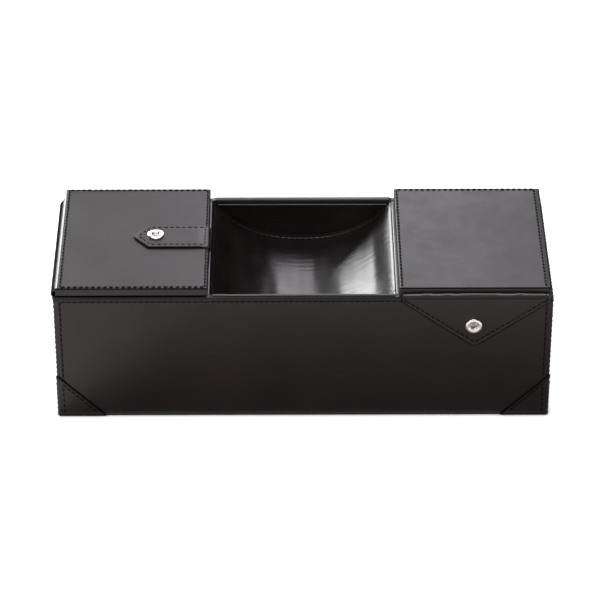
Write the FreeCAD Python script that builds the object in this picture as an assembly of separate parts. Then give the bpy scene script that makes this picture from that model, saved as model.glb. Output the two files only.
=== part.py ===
"""A long leather-covered valet box with two lidded compartments, an open tray and an end drawer.

Lengths are millimetres. The origin is the middle of the base where the box stands.
+X runs along the box to its right end, -Y faces the front, and +Z is up.
"""
import FreeCAD, Part
import os

Vector = FreeCAD.Vector

# ---------------------------------------------------------------- driving sizes
BOX_LENGTH = 356.0          # over the end leathers
BOX_DEPTH = 134.0           # over the front and back leathers
RIM_HEIGHT = 103.2          # top of the walls above the surface
LID_TOP = 111.2             # top of both lids above the surface
TRAY_LENGTH = 131.5         # open tray, between the divider covers
DRAWER_TRAVEL = 220.0       # how far the drawer slides out of the right end

LEATHER = 1.3               # outer leather
LINING = 0.8                # suede and inner leather
WALL_BOARD = 3.2            # walls, dividers and drawer sides
BASE_BOARD = 5.0            # board under the whole box
PAD = 1.6                   # soft pad under the base board
SHELF_BOARD = 3.0           # board over the drawer
LEATHER_FOOT = 0.6          # outer leather ends this far above the surface

DRAWER_WINDOW = 100.6       # width of the drawer's opening in the right end
WINDOW_BOTTOM = 10.0        # lower edge of the drawer's opening
WINDOW_TOP = 44.0           # upper edge of the drawer's opening
DRAWER_LENGTH = 328.0       # drawer, from its back to its leather front
SIDE_PLAY = 0.5             # gap round the drawer's front
RUN_PLAY = 0.3              # gap under the drawer

LID_SHELL = 6.0             # height of a lid's leather-covered edge
LID_INSET = 1.7             # lids stop this far inside the box's ends
LID_DEPTH = 131.6           # lids, front to back
LID_LEDGE = 2.45            # each lid covers this much less than its divider
LID_PLAY = 0.3              # gap between a lid's lining and the rim
HINGE_ROLL = 1.6            # radius of the leather roll in a lid's hinge
HINGE_REACH = 126.0         # length of the left lid's hinge
EDGE_ROUND = 1.0            # rounding of folded leather edges

SNAP_RADIUS = 6.35          # outside of a snap's ring cap
STRAP_WIDTH = 28.6
STRAP_TIP = -123.5          # x of the strap's point
STRAP_SHOULDER = -112.6     # x where the strap starts to taper
STRAP_CENTRE = 0.5          # y of the strap's middle line
STRAP_HINGE = -73.4         # x of the line that the strap bends on
STRAP_SNAP = -107.8         # x of the strap's snap
STRAP_FIXED_GAP = 1.3       # from the strap's bending line to its sewn end

FLAP_LEFT = 70.0            # x of the flap's left edge
FLAP_RIGHT = 175.4          # x of the flap's right edge
FLAP_SHOULDER = 101.0       # z where the flap starts to taper
FLAP_TIP = 61.0             # z of the flap's point
FLAP_SNAP = 80.6            # z of the flap's snap
FLAP_GAP = 0.4              # gap between a closed flap or strap and what it lies on
FLAP_BACKING = 0.7          # thin leather behind the flap and the strap
FLAP_HINGE_Z = 106.2        # z of the line that the flap bends on
FLAP_ROLL = 1.5             # radius of the flap's bend
TIP_ROUND = 3.0             # rounding of the flap's and the strap's points

SCOOP_SAG = 28.4            # depth of the tray's scoop below its ends
SCOOP_POWER = 2.5           # the scoop's height grows with this power of x
SCOOP_SHEET = 2.0           # thickness of the scoop
SCOOP_DROP = 0.6            # the scoop's ends stop this far below the rim
SCOOP_PLAY = 0.15           # gap round the scoop's edges
SCOOP_STATIONS = 21         # points that the scoop's curve is drawn through
HALF_MOON_DROP = 2.8        # the half-moon linings stop this far below the rim

PATCH_FRONT = 33.0          # corner patch, along the front or back
PATCH_SIDE = 22.0           # corner patch, along an end
PATCH_HEIGHT = 33.5
PATCH = 0.6                 # skived leather of a corner patch

# ---------------------------------------------------------------- planes worked out from them
END = BOX_LENGTH / 2                            # outer face of an end leather
FRONT = -BOX_DEPTH / 2                          # outer face of the front leather
BACK = BOX_DEPTH / 2
END_BOARD = END - LEATHER                       # outer face of an end board
FRONT_BOARD = BACK - LEATHER                    # outer face of the front or back board, as +y
END_INNER = END_BOARD - WALL_BOARD              # inner face of an end board
DEPTH_INNER = FRONT_BOARD - WALL_BOARD          # inner face of the front or back board, as +y
BOARD_TOP = RIM_HEIGHT - LEATHER                # top edge of the wall boards
BASE_TOP = PAD + BASE_BOARD
SHELF_BOTTOM = WINDOW_TOP + 1.0
SHELF_TOP = SHELF_BOTTOM + SHELF_BOARD
TRAY_END = TRAY_LENGTH / 2                      # tray face of a divider's cover
DIVIDER_TRAY = TRAY_END + LEATHER               # tray face of a divider's board
DIVIDER_OUTER = DIVIDER_TRAY + WALL_BOARD       # compartment face of a divider's board
LID_END = END - LID_INSET                       # outer end of a lid
LID_NEAR = TRAY_END + LID_LEDGE                 # end of a lid beside the tray
LID_BOTTOM = LID_TOP - LID_SHELL
LID_LINING_BOTTOM = RIM_HEIGHT + LID_PLAY
HINGE_Z = LID_BOTTOM                            # both lids turn at the foot of their edge
LEFT_HINGE_X = -LID_END - HINGE_ROLL - 0.1
RIGHT_HINGE_Y = LID_DEPTH / 2 + HINGE_ROLL
FLAP_BACK = FRONT - FLAP_GAP                    # y of the flap's back face
FLAP_MIDDLE = FLAP_BACK - FLAP_BACKING          # y where its two leathers meet
FLAP_FACE = FLAP_MIDDLE - LEATHER               # y of the flap's outer face
FLAP_POINT = (FLAP_LEFT + FLAP_RIGHT) / 2       # x of the flap's point
STRAP_BOTTOM = LID_TOP + FLAP_GAP
STRAP_MIDDLE = STRAP_BOTTOM + FLAP_BACKING
STRAP_TOP = STRAP_MIDDLE + LEATHER
DRAWER_HALF = DRAWER_WINDOW / 2 - SIDE_PLAY     # half the drawer's width
DRAWER_BOTTOM = WINDOW_BOTTOM + RUN_PLAY
DRAWER_FLOOR = 3.0
DRAWER_SIDE_TOP = WINDOW_TOP - 3.0
DRAWER_REAR = END - DRAWER_LENGTH               # x of the drawer's back
DRAWER_SIDE_INNER = DRAWER_HALF - WALL_BOARD
DRAWER_FLOOR_TOP = DRAWER_BOTTOM + DRAWER_FLOOR


# ---------------------------------------------------------------- shape helpers
def block(x, y, z):
    """A box between two x, two y and two z values, each given as a pair."""
    corner = Vector(min(x), min(y), min(z))
    return Part.makeBox(abs(x[1] - x[0]), abs(y[1] - y[0]), abs(z[1] - z[0]), corner)


def prism(points, direction):
    """A closed outline of points, swept straight along a vector."""
    outline = [Vector(*point) for point in points]
    face = Part.Face(Part.makePolygon(outline + outline[:1]))
    return face.extrude(Vector(*direction))


def rod(radius, start, direction):
    """A round bar from a start point along a vector."""
    axis = Vector(*direction)
    return Part.makeCylinder(radius, axis.Length, Vector(*start), axis)


def round_edges(shape, radius, wanted):
    """Fillet the edges whose middle point passes the test called wanted."""
    edges = []
    for edge in shape.Edges:
        middle = edge.valueAt((edge.FirstParameter + edge.LastParameter) / 2)
        if wanted(edge, middle):
            edges.append(edge)
    return shape.makeFillet(radius, edges)


def upright(edge):
    """True for an edge that runs along Z."""
    return abs(edge.tangentAt(edge.FirstParameter).z) > 0.99


def open_box(x, y, z, thickness):
    """A lining: a box with a floor and four walls of one thickness, open at the top."""
    hollow_x = (min(x) + thickness, max(x) - thickness)
    hollow_y = (min(y) + thickness, max(y) - thickness)
    hollow_z = (min(z) + thickness, max(z) + thickness)
    return block(x, y, z).cut(block(hollow_x, hollow_y, hollow_z))


def mirrored_in_x(shape):
    return shape.mirror(Vector(0, 0, 0), Vector(1, 0, 0))


def mirrored_in_y(shape):
    return shape.mirror(Vector(0, 0, 0), Vector(0, 1, 0))


# ---------------------------------------------------------------- snap fasteners
# A snap is built round +Z with z = 0 on the outer face of the leather that carries its cap.
CAP_HEIGHT = 1.5
CAP_EDGE = 0.35             # upright edge of the ring cap
GROOVE_OUTER = 3.9          # radius where the ring falls into its groove
GROOVE_MIDDLE = 3.3
GROOVE_LEVEL = 0.45         # bottom of the groove
DOME_RADIUS = 2.8
DOME_EDGE = 0.6             # height of the centre dome at its edge
DOME_TOP = 1.15
DOME_SHOULDER = 1.0         # height of the dome half-way out
DOME_FLAT = 0.5             # radius of the dome's flat middle
BORE_TOP = 0.2              # the stud's hollow ends this far inside the cap
POST_RADIUS = 2.7           # tube of the cap, through the leather
POST_BORE = 2.3             # hollow that takes the stud
SOCKET_RADIUS = 5.0         # ring behind the leather
STUD_RADIUS = 1.9
STUD_NECK = 1.6
STUD_CROWN = 1.4            # radius of the stud's flat top
STUD_RISE = 1.4             # the stud reaches this far past the gap
NECK_RISE = 0.4             # length of the neck past the gap
HEAD_RISE = 0.8             # the head is widest from here up to its crown
STUD_FLANGE = 3.6
FLANGE_THICKNESS = 0.25
RIVET_SHAFT = 1.2
RIVET_HEAD = 3.2
RIVET_HEAD_THICKNESS = 0.4
HOLE_PLAY = 0.05            # radial play of metal parts in their holes
GAP_LEVEL = -LEATHER - FLAP_BACKING             # back face of the flap or the strap
SEAT_LEVEL = GAP_LEVEL - FLAP_GAP               # face that the stud stands on


def turned(points):
    """A solid of revolution about Z from (radius, z) points."""
    outline = [Vector(radius, 0, z) for radius, z in points]
    face = Part.Face(Part.makePolygon(outline + outline[:1]))
    return face.revolve(Vector(0, 0, 0), Vector(0, 0, 1), 360)


def snap_cap():
    """Ring cap with a groove and a low centre dome, and the tube that goes through the leather."""
    crown = Vector((SNAP_RADIUS + GROOVE_OUTER) / 2, 0, CAP_HEIGHT)
    ring_inner = Vector(GROOVE_OUTER, 0, CAP_HEIGHT / 2)
    rim = Part.Arc(Vector(SNAP_RADIUS, 0, CAP_EDGE), crown, ring_inner)
    dome_edge = Vector(DOME_RADIUS, 0, DOME_EDGE)
    dome_top = Vector(DOME_FLAT, 0, DOME_TOP)
    dome = Part.Arc(dome_edge, Vector(DOME_RADIUS / 2, 0, DOME_SHOULDER), dome_top)
    groove = Part.makePolygon([dome_edge, Vector(GROOVE_MIDDLE, 0, GROOVE_LEVEL), ring_inner])
    tube_end = GAP_LEVEL + FLAP_BACKING
    below = [(DOME_FLAT, DOME_TOP), (0, DOME_TOP), (0, BORE_TOP), (POST_BORE, BORE_TOP), (POST_BORE, tube_end)]
    below += [(POST_RADIUS, tube_end), (POST_RADIUS, 0), (SNAP_RADIUS, 0)]
    below += [(SNAP_RADIUS, CAP_EDGE)]
    under = Part.makePolygon([Vector(r, 0, z) for r, z in below])
    edges = [rim.toShape()] + groove.Edges + [dome.toShape()] + under.Edges
    wire = Part.Wire(Part.__sortEdges__(edges))
    return Part.Face(wire).revolve(Vector(0, 0, 0), Vector(0, 0, 1), 360)


def snap_socket():
    """Flat ring behind the leather, level with the thin backing leather."""
    level = (GAP_LEVEL, GAP_LEVEL + FLAP_BACKING)
    outline = [(POST_BORE, level[0]), (SOCKET_RADIUS, level[0])]
    outline += [(SOCKET_RADIUS, level[1]), (POST_BORE, level[1])]
    return turned(outline)


def snap_stud():
    """Low stud with a flange; its neck is narrower than its head."""
    top = GAP_LEVEL + STUD_RISE
    flange_top = SEAT_LEVEL + FLANGE_THICKNESS
    outline = [(0, SEAT_LEVEL), (STUD_FLANGE, SEAT_LEVEL), (STUD_FLANGE, flange_top)]
    outline += [(STUD_NECK, flange_top), (STUD_NECK, GAP_LEVEL + NECK_RISE)]
    outline += [(STUD_RADIUS, GAP_LEVEL + HEAD_RISE), (STUD_CROWN, top), (0, top)]
    return turned(outline)


def snap_rivet(grip):
    """Shaft from the stud through the board, with a flat head let into the board's far side."""
    shaft = rod(RIVET_SHAFT, (0, 0, SEAT_LEVEL - grip), (0, 0, grip))
    head = rod(RIVET_HEAD, (0, 0, SEAT_LEVEL - grip), (0, 0, RIVET_HEAD_THICKNESS))
    return shaft.fuse(head).removeSplitter()


def rivet_hole(grip):
    """The space that a snap's rivet needs."""
    radius = RIVET_SHAFT + HOLE_PLAY
    sink = RIVET_HEAD + HOLE_PLAY
    shaft = rod(radius, (0, 0, SEAT_LEVEL - grip), (0, 0, grip))
    return shaft.fuse(rod(sink, (0, 0, SEAT_LEVEL - grip), (0, 0, RIVET_HEAD_THICKNESS)))


def cap_hole():
    """The space that a cap's tube needs in its leather."""
    return rod(POST_RADIUS + HOLE_PLAY, (0, 0, GAP_LEVEL), (0, 0, -GAP_LEVEL))


def socket_hole():
    """The space that a socket needs in the backing leather."""
    return rod(SOCKET_RADIUS + HOLE_PLAY, (0, 0, GAP_LEVEL), (0, 0, FLAP_BACKING))


def on_strap(shape):
    """Carry a snap part to the strap: its +Z stays up."""
    moved = shape.copy()
    moved.translate(Vector(STRAP_SNAP, STRAP_CENTRE, STRAP_TOP))
    return moved


def on_flap(shape):
    """Carry a snap part to the flap: its +Z turns to face the front."""
    moved = shape.copy()
    moved.rotate(Vector(0, 0, 0), Vector(1, 0, 0), 90)
    moved.translate(Vector(FLAP_POINT, FLAP_FACE, FLAP_SNAP))
    return moved


LID_BOARD_GRIP = LID_SHELL          # lid leather and board under the strap's stud
WALL_GRIP = LEATHER + WALL_BOARD    # front leather and board behind the flap's stud


# ---------------------------------------------------------------- carcass
def base_pad():
    inset = 2.0
    return block((-END + inset, END - inset), (FRONT + inset, BACK - inset), (0, PAD))


def base_board():
    return block((-END_BOARD, END_BOARD), (-FRONT_BOARD, FRONT_BOARD), (PAD, BASE_TOP))


def back_board():
    return block((-END_BOARD, END_BOARD), (DEPTH_INNER, FRONT_BOARD), (BASE_TOP, BOARD_TOP))


def front_board():
    return mirrored_in_y(back_board()).cut(on_flap(rivet_hole(WALL_GRIP)))


def end_panel_board(y, z):
    """A piece of the right end's board."""
    return block((END_INNER, END_BOARD), y, z)


def left_end_board():
    return mirrored_in_x(end_panel_board((-DEPTH_INNER, DEPTH_INNER), (BASE_TOP, BOARD_TOP)))


def right_end_board():
    """Upper part of the right end, over the drawer."""
    return end_panel_board((-DEPTH_INNER, DEPTH_INNER), (SHELF_BOTTOM, BOARD_TOP))


def right_end_post_back():
    return end_panel_board((DRAWER_WINDOW / 2, DEPTH_INNER), (BASE_TOP, SHELF_BOTTOM))


def right_end_post_front():
    return mirrored_in_y(right_end_post_back())


def right_end_sill():
    half = DRAWER_WINDOW / 2
    return end_panel_board((-half, half), (BASE_TOP, WINDOW_BOTTOM))


def drawer_shelf():
    return block((-END_INNER, END_INNER), (-DEPTH_INNER, DEPTH_INNER), (SHELF_BOTTOM, SHELF_TOP))


def right_divider():
    return block((DIVIDER_TRAY, DIVIDER_OUTER), (-DEPTH_INNER, DEPTH_INNER), (SHELF_TOP, BOARD_TOP))


def drawer_rail_back():
    """Guide beside the drawer, runner under it, and a stop at the runner's far end."""
    half = DRAWER_WINDOW / 2
    runner_width = 8.3
    stop_length = 6.0
    stop_height = 10.0
    reach = (-END_INNER, END_INNER)
    guide = block(reach, (half, DEPTH_INNER), (BASE_TOP, SHELF_BOTTOM - RUN_PLAY))
    runner = block(reach, (half - runner_width, half), (BASE_TOP, WINDOW_BOTTOM))
    stop_end = DRAWER_REAR - RUN_PLAY
    stop_z = (WINDOW_BOTTOM, WINDOW_BOTTOM + stop_height)
    stop = block((stop_end - stop_length, stop_end), (half - runner_width, half), stop_z)
    return guide.fuse([runner, stop]).removeSplitter()


def drawer_rail_front():
    return mirrored_in_y(drawer_rail_back())


def back_leather():
    """Outer leather of the back, folded inwards over the board's top edge."""
    outer = block((-END, END), (FRONT_BOARD, BACK), (LEATHER_FOOT, RIM_HEIGHT))
    inner_y = DEPTH_INNER - LINING
    fold = block((-END_BOARD, END_BOARD), (inner_y, FRONT_BOARD), (BOARD_TOP, RIM_HEIGHT))
    panel = outer.fuse(fold).removeSplitter()

    def outside(edge, middle):
        at_top = abs(middle.z - RIM_HEIGHT) < 0.01 and abs(middle.y - BACK) < 0.01
        at_corner = upright(edge) and abs(middle.y - BACK) < 0.01
        return at_top or at_corner

    return round_edges(panel, EDGE_ROUND, outside)


def front_leather():
    return mirrored_in_y(back_leather()).cut(on_flap(rivet_hole(WALL_GRIP)))


def end_leather():
    """Outer leather of an end, between the front and back leathers, folded over the top."""
    outer = block((END_BOARD, END), (-FRONT_BOARD, FRONT_BOARD), (LEATHER_FOOT, RIM_HEIGHT))
    inner_y = DEPTH_INNER - LINING
    fold = block((END_INNER - LINING, END_BOARD), (-inner_y, inner_y), (BOARD_TOP, RIM_HEIGHT))
    return outer.fuse(fold).removeSplitter()


def right_end_leather():
    half = DRAWER_WINDOW / 2
    window = block((END_BOARD, END), (-half, half), (WINDOW_BOTTOM, WINDOW_TOP))
    return end_leather().cut(window)


def left_end_leather():
    return mirrored_in_x(end_leather())


def corner_patch_back_right():
    """Thin triangle of leather folded round the foot of a corner."""
    foot = LEATHER_FOOT
    back_outline = [(END, BACK, foot), (END - PATCH_FRONT, BACK, foot), (END, BACK, PATCH_HEIGHT)]
    on_back = prism(back_outline, (0, PATCH, 0))
    side_outline = [(END, BACK, foot), (END, BACK - PATCH_SIDE, foot), (END, BACK, PATCH_HEIGHT)]
    on_side = prism(side_outline, (PATCH, 0, 0))
    fold = block((END, END + PATCH), (BACK, BACK + PATCH), (foot, PATCH_HEIGHT))
    return on_back.fuse([on_side, fold]).removeSplitter()


def right_divider_cover():
    """Leather over a divider's tray side, folded across its top edge."""
    inner_y = DEPTH_INNER - LINING
    side = block((TRAY_END, DIVIDER_TRAY), (-inner_y, inner_y), (SHELF_TOP, RIM_HEIGHT))
    fold = block((DIVIDER_TRAY, DIVIDER_OUTER), (-inner_y, inner_y), (BOARD_TOP, RIM_HEIGHT))
    return side.fuse(fold).removeSplitter()


def compartment_lining():
    """Suede lining of the right compartment."""
    x = (DIVIDER_OUTER, END_INNER)
    return open_box(x, (-DEPTH_INNER, DEPTH_INNER), (SHELF_TOP, BOARD_TOP), LINING)


# ---------------------------------------------------------------- tray
def scoop_height(x):
    """Upper face of the scoop: a hammock that steepens towards the dividers."""
    rise = SCOOP_SAG * (abs(x) / TRAY_END) ** SCOOP_POWER
    return RIM_HEIGHT - SCOOP_DROP - SCOOP_SAG + rise


def scoop_curve(y, lift):
    """The scoop's curve across the tray, raised by lift, as a smooth spline."""
    reach = TRAY_END - SCOOP_PLAY
    points = []
    for index in range(SCOOP_STATIONS):
        x = -reach + 2 * reach * index / (SCOOP_STATIONS - 1)
        points.append(Vector(x, y, scoop_height(x) + lift))
    spline = Part.BSplineCurve()
    spline.interpolate(points)
    return spline.toShape()


def tray_scoop():
    """Curved leather floor of the tray, hung between the dividers."""
    y = -(DEPTH_INNER - LINING) + SCOOP_PLAY
    top = scoop_curve(y, 0)
    bottom = scoop_curve(y, -SCOOP_SHEET)
    left = Part.makeLine(bottom.firstVertex().Point, top.firstVertex().Point)
    right = Part.makeLine(top.lastVertex().Point, bottom.lastVertex().Point)
    face = Part.Face(Part.Wire(Part.__sortEdges__([top, right, bottom, left])))
    return face.extrude(Vector(0, -2 * y, 0))


def tray_lining_back():
    """Half-moon of leather on the back wall, between the scoop and a straight top edge."""
    clearance = 0.1
    y = DEPTH_INNER - 2 * LINING
    level = RIM_HEIGHT - HALF_MOON_DROP
    above = block((-TRAY_END, TRAY_END), (y, y + LINING), (SHELF_TOP, level))
    curve = scoop_curve(y, clearance)
    start = curve.firstVertex().Point
    end = curve.lastVertex().Point
    lift = Vector(0, 0, RIM_HEIGHT)
    sides = [Part.makeLine(start, start + lift), Part.makeLine(end, end + lift)]
    top = Part.makeLine(start + lift, end + lift)
    face = Part.Face(Part.Wire(Part.__sortEdges__([curve, sides[1], top, sides[0]])))
    return face.extrude(Vector(0, LINING, 0)).common(above)


def tray_lining_front():
    return mirrored_in_y(tray_lining_back())


# ---------------------------------------------------------------- lids
def lid_leather():
    """Leather over the right lid: a shallow shell, open below, with rounded outer edges."""
    half = LID_DEPTH / 2
    outer = block((LID_NEAR, LID_END), (-half, half), (LID_BOTTOM, LID_TOP))

    def outside(edge, middle):
        return upright(edge) or abs(middle.z - LID_TOP) < 0.01

    shell = round_edges(outer, EDGE_ROUND, outside)
    hollow_x = (LID_NEAR + LEATHER, LID_END - LEATHER)
    hollow_y = (-half + LEATHER, half - LEATHER)
    return shell.cut(block(hollow_x, hollow_y, (LID_BOTTOM, LID_TOP - LEATHER)))


def lid_board():
    half = LID_DEPTH / 2 - LEATHER
    x = (LID_NEAR + LEATHER, LID_END - LEATHER)
    return block(x, (-half, half), (LID_BOTTOM, LID_TOP - LEATHER))


def lid_lining():
    """Suede pad under a lid, inset so that a dark line shows round the closed lid."""
    inset = 2.5
    half = LID_DEPTH / 2 - inset
    x = (LID_NEAR + inset, LID_END - inset)
    return block(x, (-half, half), (LID_LINING_BOTTOM, LID_BOTTOM))


def left_lid_leather():
    return mirrored_in_x(lid_leather()).cut(on_strap(rivet_hole(LID_BOARD_GRIP)))


def left_lid_board():
    return mirrored_in_x(lid_board()).cut(on_strap(rivet_hole(LID_BOARD_GRIP)))


def left_lid_hinge():
    """Leather roll along the left edge, round the line that the left lid turns on."""
    start = (LEFT_HINGE_X, -HINGE_REACH / 2, HINGE_Z)
    return rod(HINGE_ROLL, start, (0, HINGE_REACH, 0))


def right_lid_hinge():
    """Leather roll along the back edge, round the line that the right lid turns on."""
    inset = 3.0
    length = LID_END - LID_NEAR - 2 * inset
    return rod(HINGE_ROLL, (LID_NEAR + inset, RIGHT_HINGE_Y, HINGE_Z), (length, 0, 0))


# ---------------------------------------------------------------- strap
def strap_outline(z, inset):
    """The strap's outline at a height, as a list of points, drawn in by inset."""
    half = STRAP_WIDTH / 2 - inset
    low = STRAP_CENTRE - half
    high = STRAP_CENTRE + half
    tip = (STRAP_TIP + inset, STRAP_CENTRE, z)
    shoulders = [(STRAP_SHOULDER, low, z), (STRAP_SHOULDER, high, z)]
    return [(STRAP_HINGE, low, z), shoulders[0], tip, shoulders[1], (STRAP_HINGE, high, z)]


def round_tip(shape, tip_x):
    """Round the strap's point."""
    def at_tip(edge, middle):
        return upright(edge) and abs(middle.x - tip_x) < 0.01
    return round_edges(shape, TIP_ROUND, at_tip)


def strap_leather():
    """Outer leather of the strap, with the roll of its bend at the sewn end."""
    plate = prism(strap_outline(STRAP_MIDDLE, 0), (0, 0, LEATHER))
    roll_radius = (STRAP_TOP - STRAP_BOTTOM) / 2
    start = (STRAP_HINGE, STRAP_CENTRE - STRAP_WIDTH / 2, STRAP_BOTTOM + roll_radius)
    roll = rod(roll_radius, start, (0, STRAP_WIDTH, 0))
    pointed = round_tip(plate, STRAP_TIP)
    return pointed.fuse(roll).cut(on_strap(cap_hole())).removeSplitter()


def strap_backing():
    """Thin leather behind the strap, stopping short of its bend."""
    inset = 0.5
    short_of_bend = 2.0
    plate = round_tip(prism(strap_outline(STRAP_BOTTOM, inset), (0, 0, FLAP_BACKING)), STRAP_TIP + inset)
    bend = block((STRAP_HINGE - short_of_bend, 0), (-STRAP_WIDTH, STRAP_WIDTH), (LID_TOP, STRAP_TOP))
    return plate.cut(bend).cut(on_strap(socket_hole()))


def strap_fixed_end():
    """End of the strap that is sewn to the lid and folded down over its edge."""
    half = STRAP_WIDTH / 2
    y = (STRAP_CENTRE - half, STRAP_CENTRE + half)
    lid_edge = -LID_NEAR
    wrap = 1.1
    turn_down = 4.0
    top = block((STRAP_HINGE + STRAP_FIXED_GAP, lid_edge + wrap), y, (LID_TOP, STRAP_TOP - FLAP_GAP))
    side = block((lid_edge, lid_edge + wrap), y, (LID_TOP - turn_down, LID_TOP))
    bent = top.fuse(side).removeSplitter()

    def outer_corner(edge, middle):
        along_y = abs(edge.tangentAt(edge.FirstParameter).y) > 0.99
        at_top = abs(middle.z - (STRAP_TOP - FLAP_GAP)) < 0.01
        return along_y and at_top and abs(middle.x - (lid_edge + wrap)) < 0.01

    return round_edges(bent, wrap * 0.9, outer_corner)


# ---------------------------------------------------------------- flap
def flap_plate(y, thickness, top, inset):
    """The flap's pointed outline at one y, drawn in by inset, with its point rounded."""
    left = FLAP_LEFT + inset
    right = FLAP_RIGHT - inset
    tip_z = FLAP_TIP + inset
    outline = [(left, y, top), (left, y, FLAP_SHOULDER), (FLAP_POINT, y, tip_z)]
    outline += [(right, y, FLAP_SHOULDER), (right, y, top)]
    plate = prism(outline, (0, -thickness, 0))

    def at_tip(edge, middle):
        along_y = abs(edge.tangentAt(edge.FirstParameter).y) > 0.99
        return along_y and abs(middle.z - tip_z) < 0.01

    return round_edges(plate, TIP_ROUND, at_tip)


def flap_leather():
    """Outer leather of the flap, with the roll of its bend at the top."""
    plate = flap_plate(FLAP_MIDDLE, LEATHER, FLAP_HINGE_Z, 0)
    roll_y = FLAP_FACE + FLAP_ROLL
    roll = rod(FLAP_ROLL, (FLAP_LEFT, roll_y, FLAP_HINGE_Z), (FLAP_RIGHT - FLAP_LEFT, 0, 0))
    return plate.fuse(roll).cut(on_flap(cap_hole())).removeSplitter()


def flap_backing():
    short_of_bend = 2.7
    plate = flap_plate(FLAP_BACK, FLAP_BACKING, FLAP_HINGE_Z - short_of_bend, 0.5)
    return plate.cut(on_flap(socket_hole()))


# ---------------------------------------------------------------- drawer
def drawer_floor():
    y = (-DRAWER_SIDE_INNER, DRAWER_SIDE_INNER)
    return block((DRAWER_REAR, END_INNER), y, (DRAWER_BOTTOM, DRAWER_FLOOR_TOP))


def drawer_side_back():
    y = (DRAWER_SIDE_INNER, DRAWER_HALF)
    return block((DRAWER_REAR, END_INNER), y, (DRAWER_BOTTOM, DRAWER_SIDE_TOP))


def drawer_side_front():
    return mirrored_in_y(drawer_side_back())


def drawer_rear_board():
    y = (-DRAWER_SIDE_INNER, DRAWER_SIDE_INNER)
    return block((DRAWER_REAR, DRAWER_REAR + WALL_BOARD), y, (DRAWER_FLOOR_TOP, DRAWER_SIDE_TOP))


def drawer_face(x):
    """A slab of the drawer's front, a little smaller than its window."""
    z = (WINDOW_BOTTOM + SIDE_PLAY, WINDOW_TOP - SIDE_PLAY)
    return block(x, (-DRAWER_HALF, DRAWER_HALF), z).cut(pull_rivet_shaft(HOLE_PLAY))


def drawer_front_board():
    return drawer_face((END_INNER, END_BOARD))


def drawer_front_leather():
    return drawer_face((END_BOARD, END))


def drawer_lining():
    x = (DRAWER_REAR + WALL_BOARD, END_INNER)
    y = (-DRAWER_SIDE_INNER, DRAWER_SIDE_INNER)
    below_side_top = 0.5
    return open_box(x, y, (DRAWER_FLOOR_TOP, DRAWER_SIDE_TOP - below_side_top), LINING)


TAB_WIDTH = 16.0
TAB_TOP = 38.0
TAB_FOOT = 13.0
TAB_LEAN = 6.0              # how far the tab's foot stands off the drawer
TAB_STRAIGHT = 28.0         # the tab lies flat above this height
TAB_BELLY = 1.8             # how far it stands off half-way down its curl
TAB_SLANT = 1.2             # curled leather, measured along X, against its thickness
TAB_CORNER = 6.4            # rounding of its outline
TAB_RIVET_Z = 33.0
TAB_RIVET_HEAD = 3.6
TAB_RIVET_SHAFT = 1.0


def pull_rivet_shaft(play):
    """Shaft of the pull tab's rivet, from the tab to the drawer front's inner face."""
    length = WALL_BOARD + LEATHER + LEATHER
    return rod(TAB_RIVET_SHAFT + play, (END_INNER, 0, TAB_RIVET_Z), (length, 0, 0))


def drawer_pull_tab():
    """Leather tab that hangs from its rivet and curls away from the drawer at its foot."""
    middle_z = (TAB_STRAIGHT + TAB_FOOT) / 2
    inner = Part.Arc(
        Vector(END, 0, TAB_STRAIGHT),
        Vector(END + TAB_BELLY, 0, middle_z),
        Vector(END + TAB_LEAN, 0, TAB_FOOT),
    )
    outer = Part.Arc(
        Vector(END + LEATHER, 0, TAB_STRAIGHT),
        Vector(END + TAB_BELLY + LEATHER * (1 + TAB_SLANT) / 2, 0, middle_z),
        Vector(END + TAB_LEAN + LEATHER * TAB_SLANT, 0, TAB_FOOT),
    )
    inner_top = Vector(END, 0, TAB_TOP)
    outer_top = Vector(END + LEATHER, 0, TAB_TOP)
    edges = [
        inner.toShape(),
        Part.makeLine(inner.EndPoint, outer.EndPoint),
        outer.toShape(),
        Part.makeLine(outer.StartPoint, outer_top),
        Part.makeLine(outer_top, inner_top),
        Part.makeLine(inner_top, inner.StartPoint),
    ]
    strip = Part.Face(Part.Wire(Part.__sortEdges__(edges)))
    strip.translate(Vector(0, -TAB_WIDTH / 2, 0))
    curled = strip.extrude(Vector(0, TAB_WIDTH, 0))
    room = (END, END + 2 * TAB_LEAN)
    outline = block(room, (-TAB_WIDTH / 2, TAB_WIDTH / 2), (TAB_FOOT, TAB_TOP))

    def along_x(edge, middle):
        return abs(edge.tangentAt(edge.FirstParameter).x) > 0.99

    rounded = round_edges(outline, TAB_CORNER, along_x)
    return curled.common(rounded).cut(pull_rivet_shaft(HOLE_PLAY))


def drawer_pull_rivet():
    """Domed rivet that holds the pull tab."""
    dome_rise = 1.4
    seat = END + LEATHER
    sphere_radius = (TAB_RIVET_HEAD ** 2 + dome_rise ** 2) / (2 * dome_rise)
    centre = Vector(seat + dome_rise - sphere_radius, 0, TAB_RIVET_Z)
    ball = Part.makeSphere(sphere_radius, centre)
    head = ball.common(rod(TAB_RIVET_HEAD, (seat, 0, TAB_RIVET_Z), (dome_rise, 0, 0)))
    return head.fuse(pull_rivet_shaft(0)).removeSplitter()


# ---------------------------------------------------------------- all the pieces, by name
def patches():
    """Four corner patches; the other three mirror the back right one."""
    back_right = corner_patch_back_right()
    back_left = mirrored_in_x(back_right)
    return {
        "corner_patch_back_right": back_right,
        "corner_patch_back_left": back_left,
        "corner_patch_front_right": mirrored_in_y(back_right),
        "corner_patch_front_left": mirrored_in_y(back_left),
    }


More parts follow.
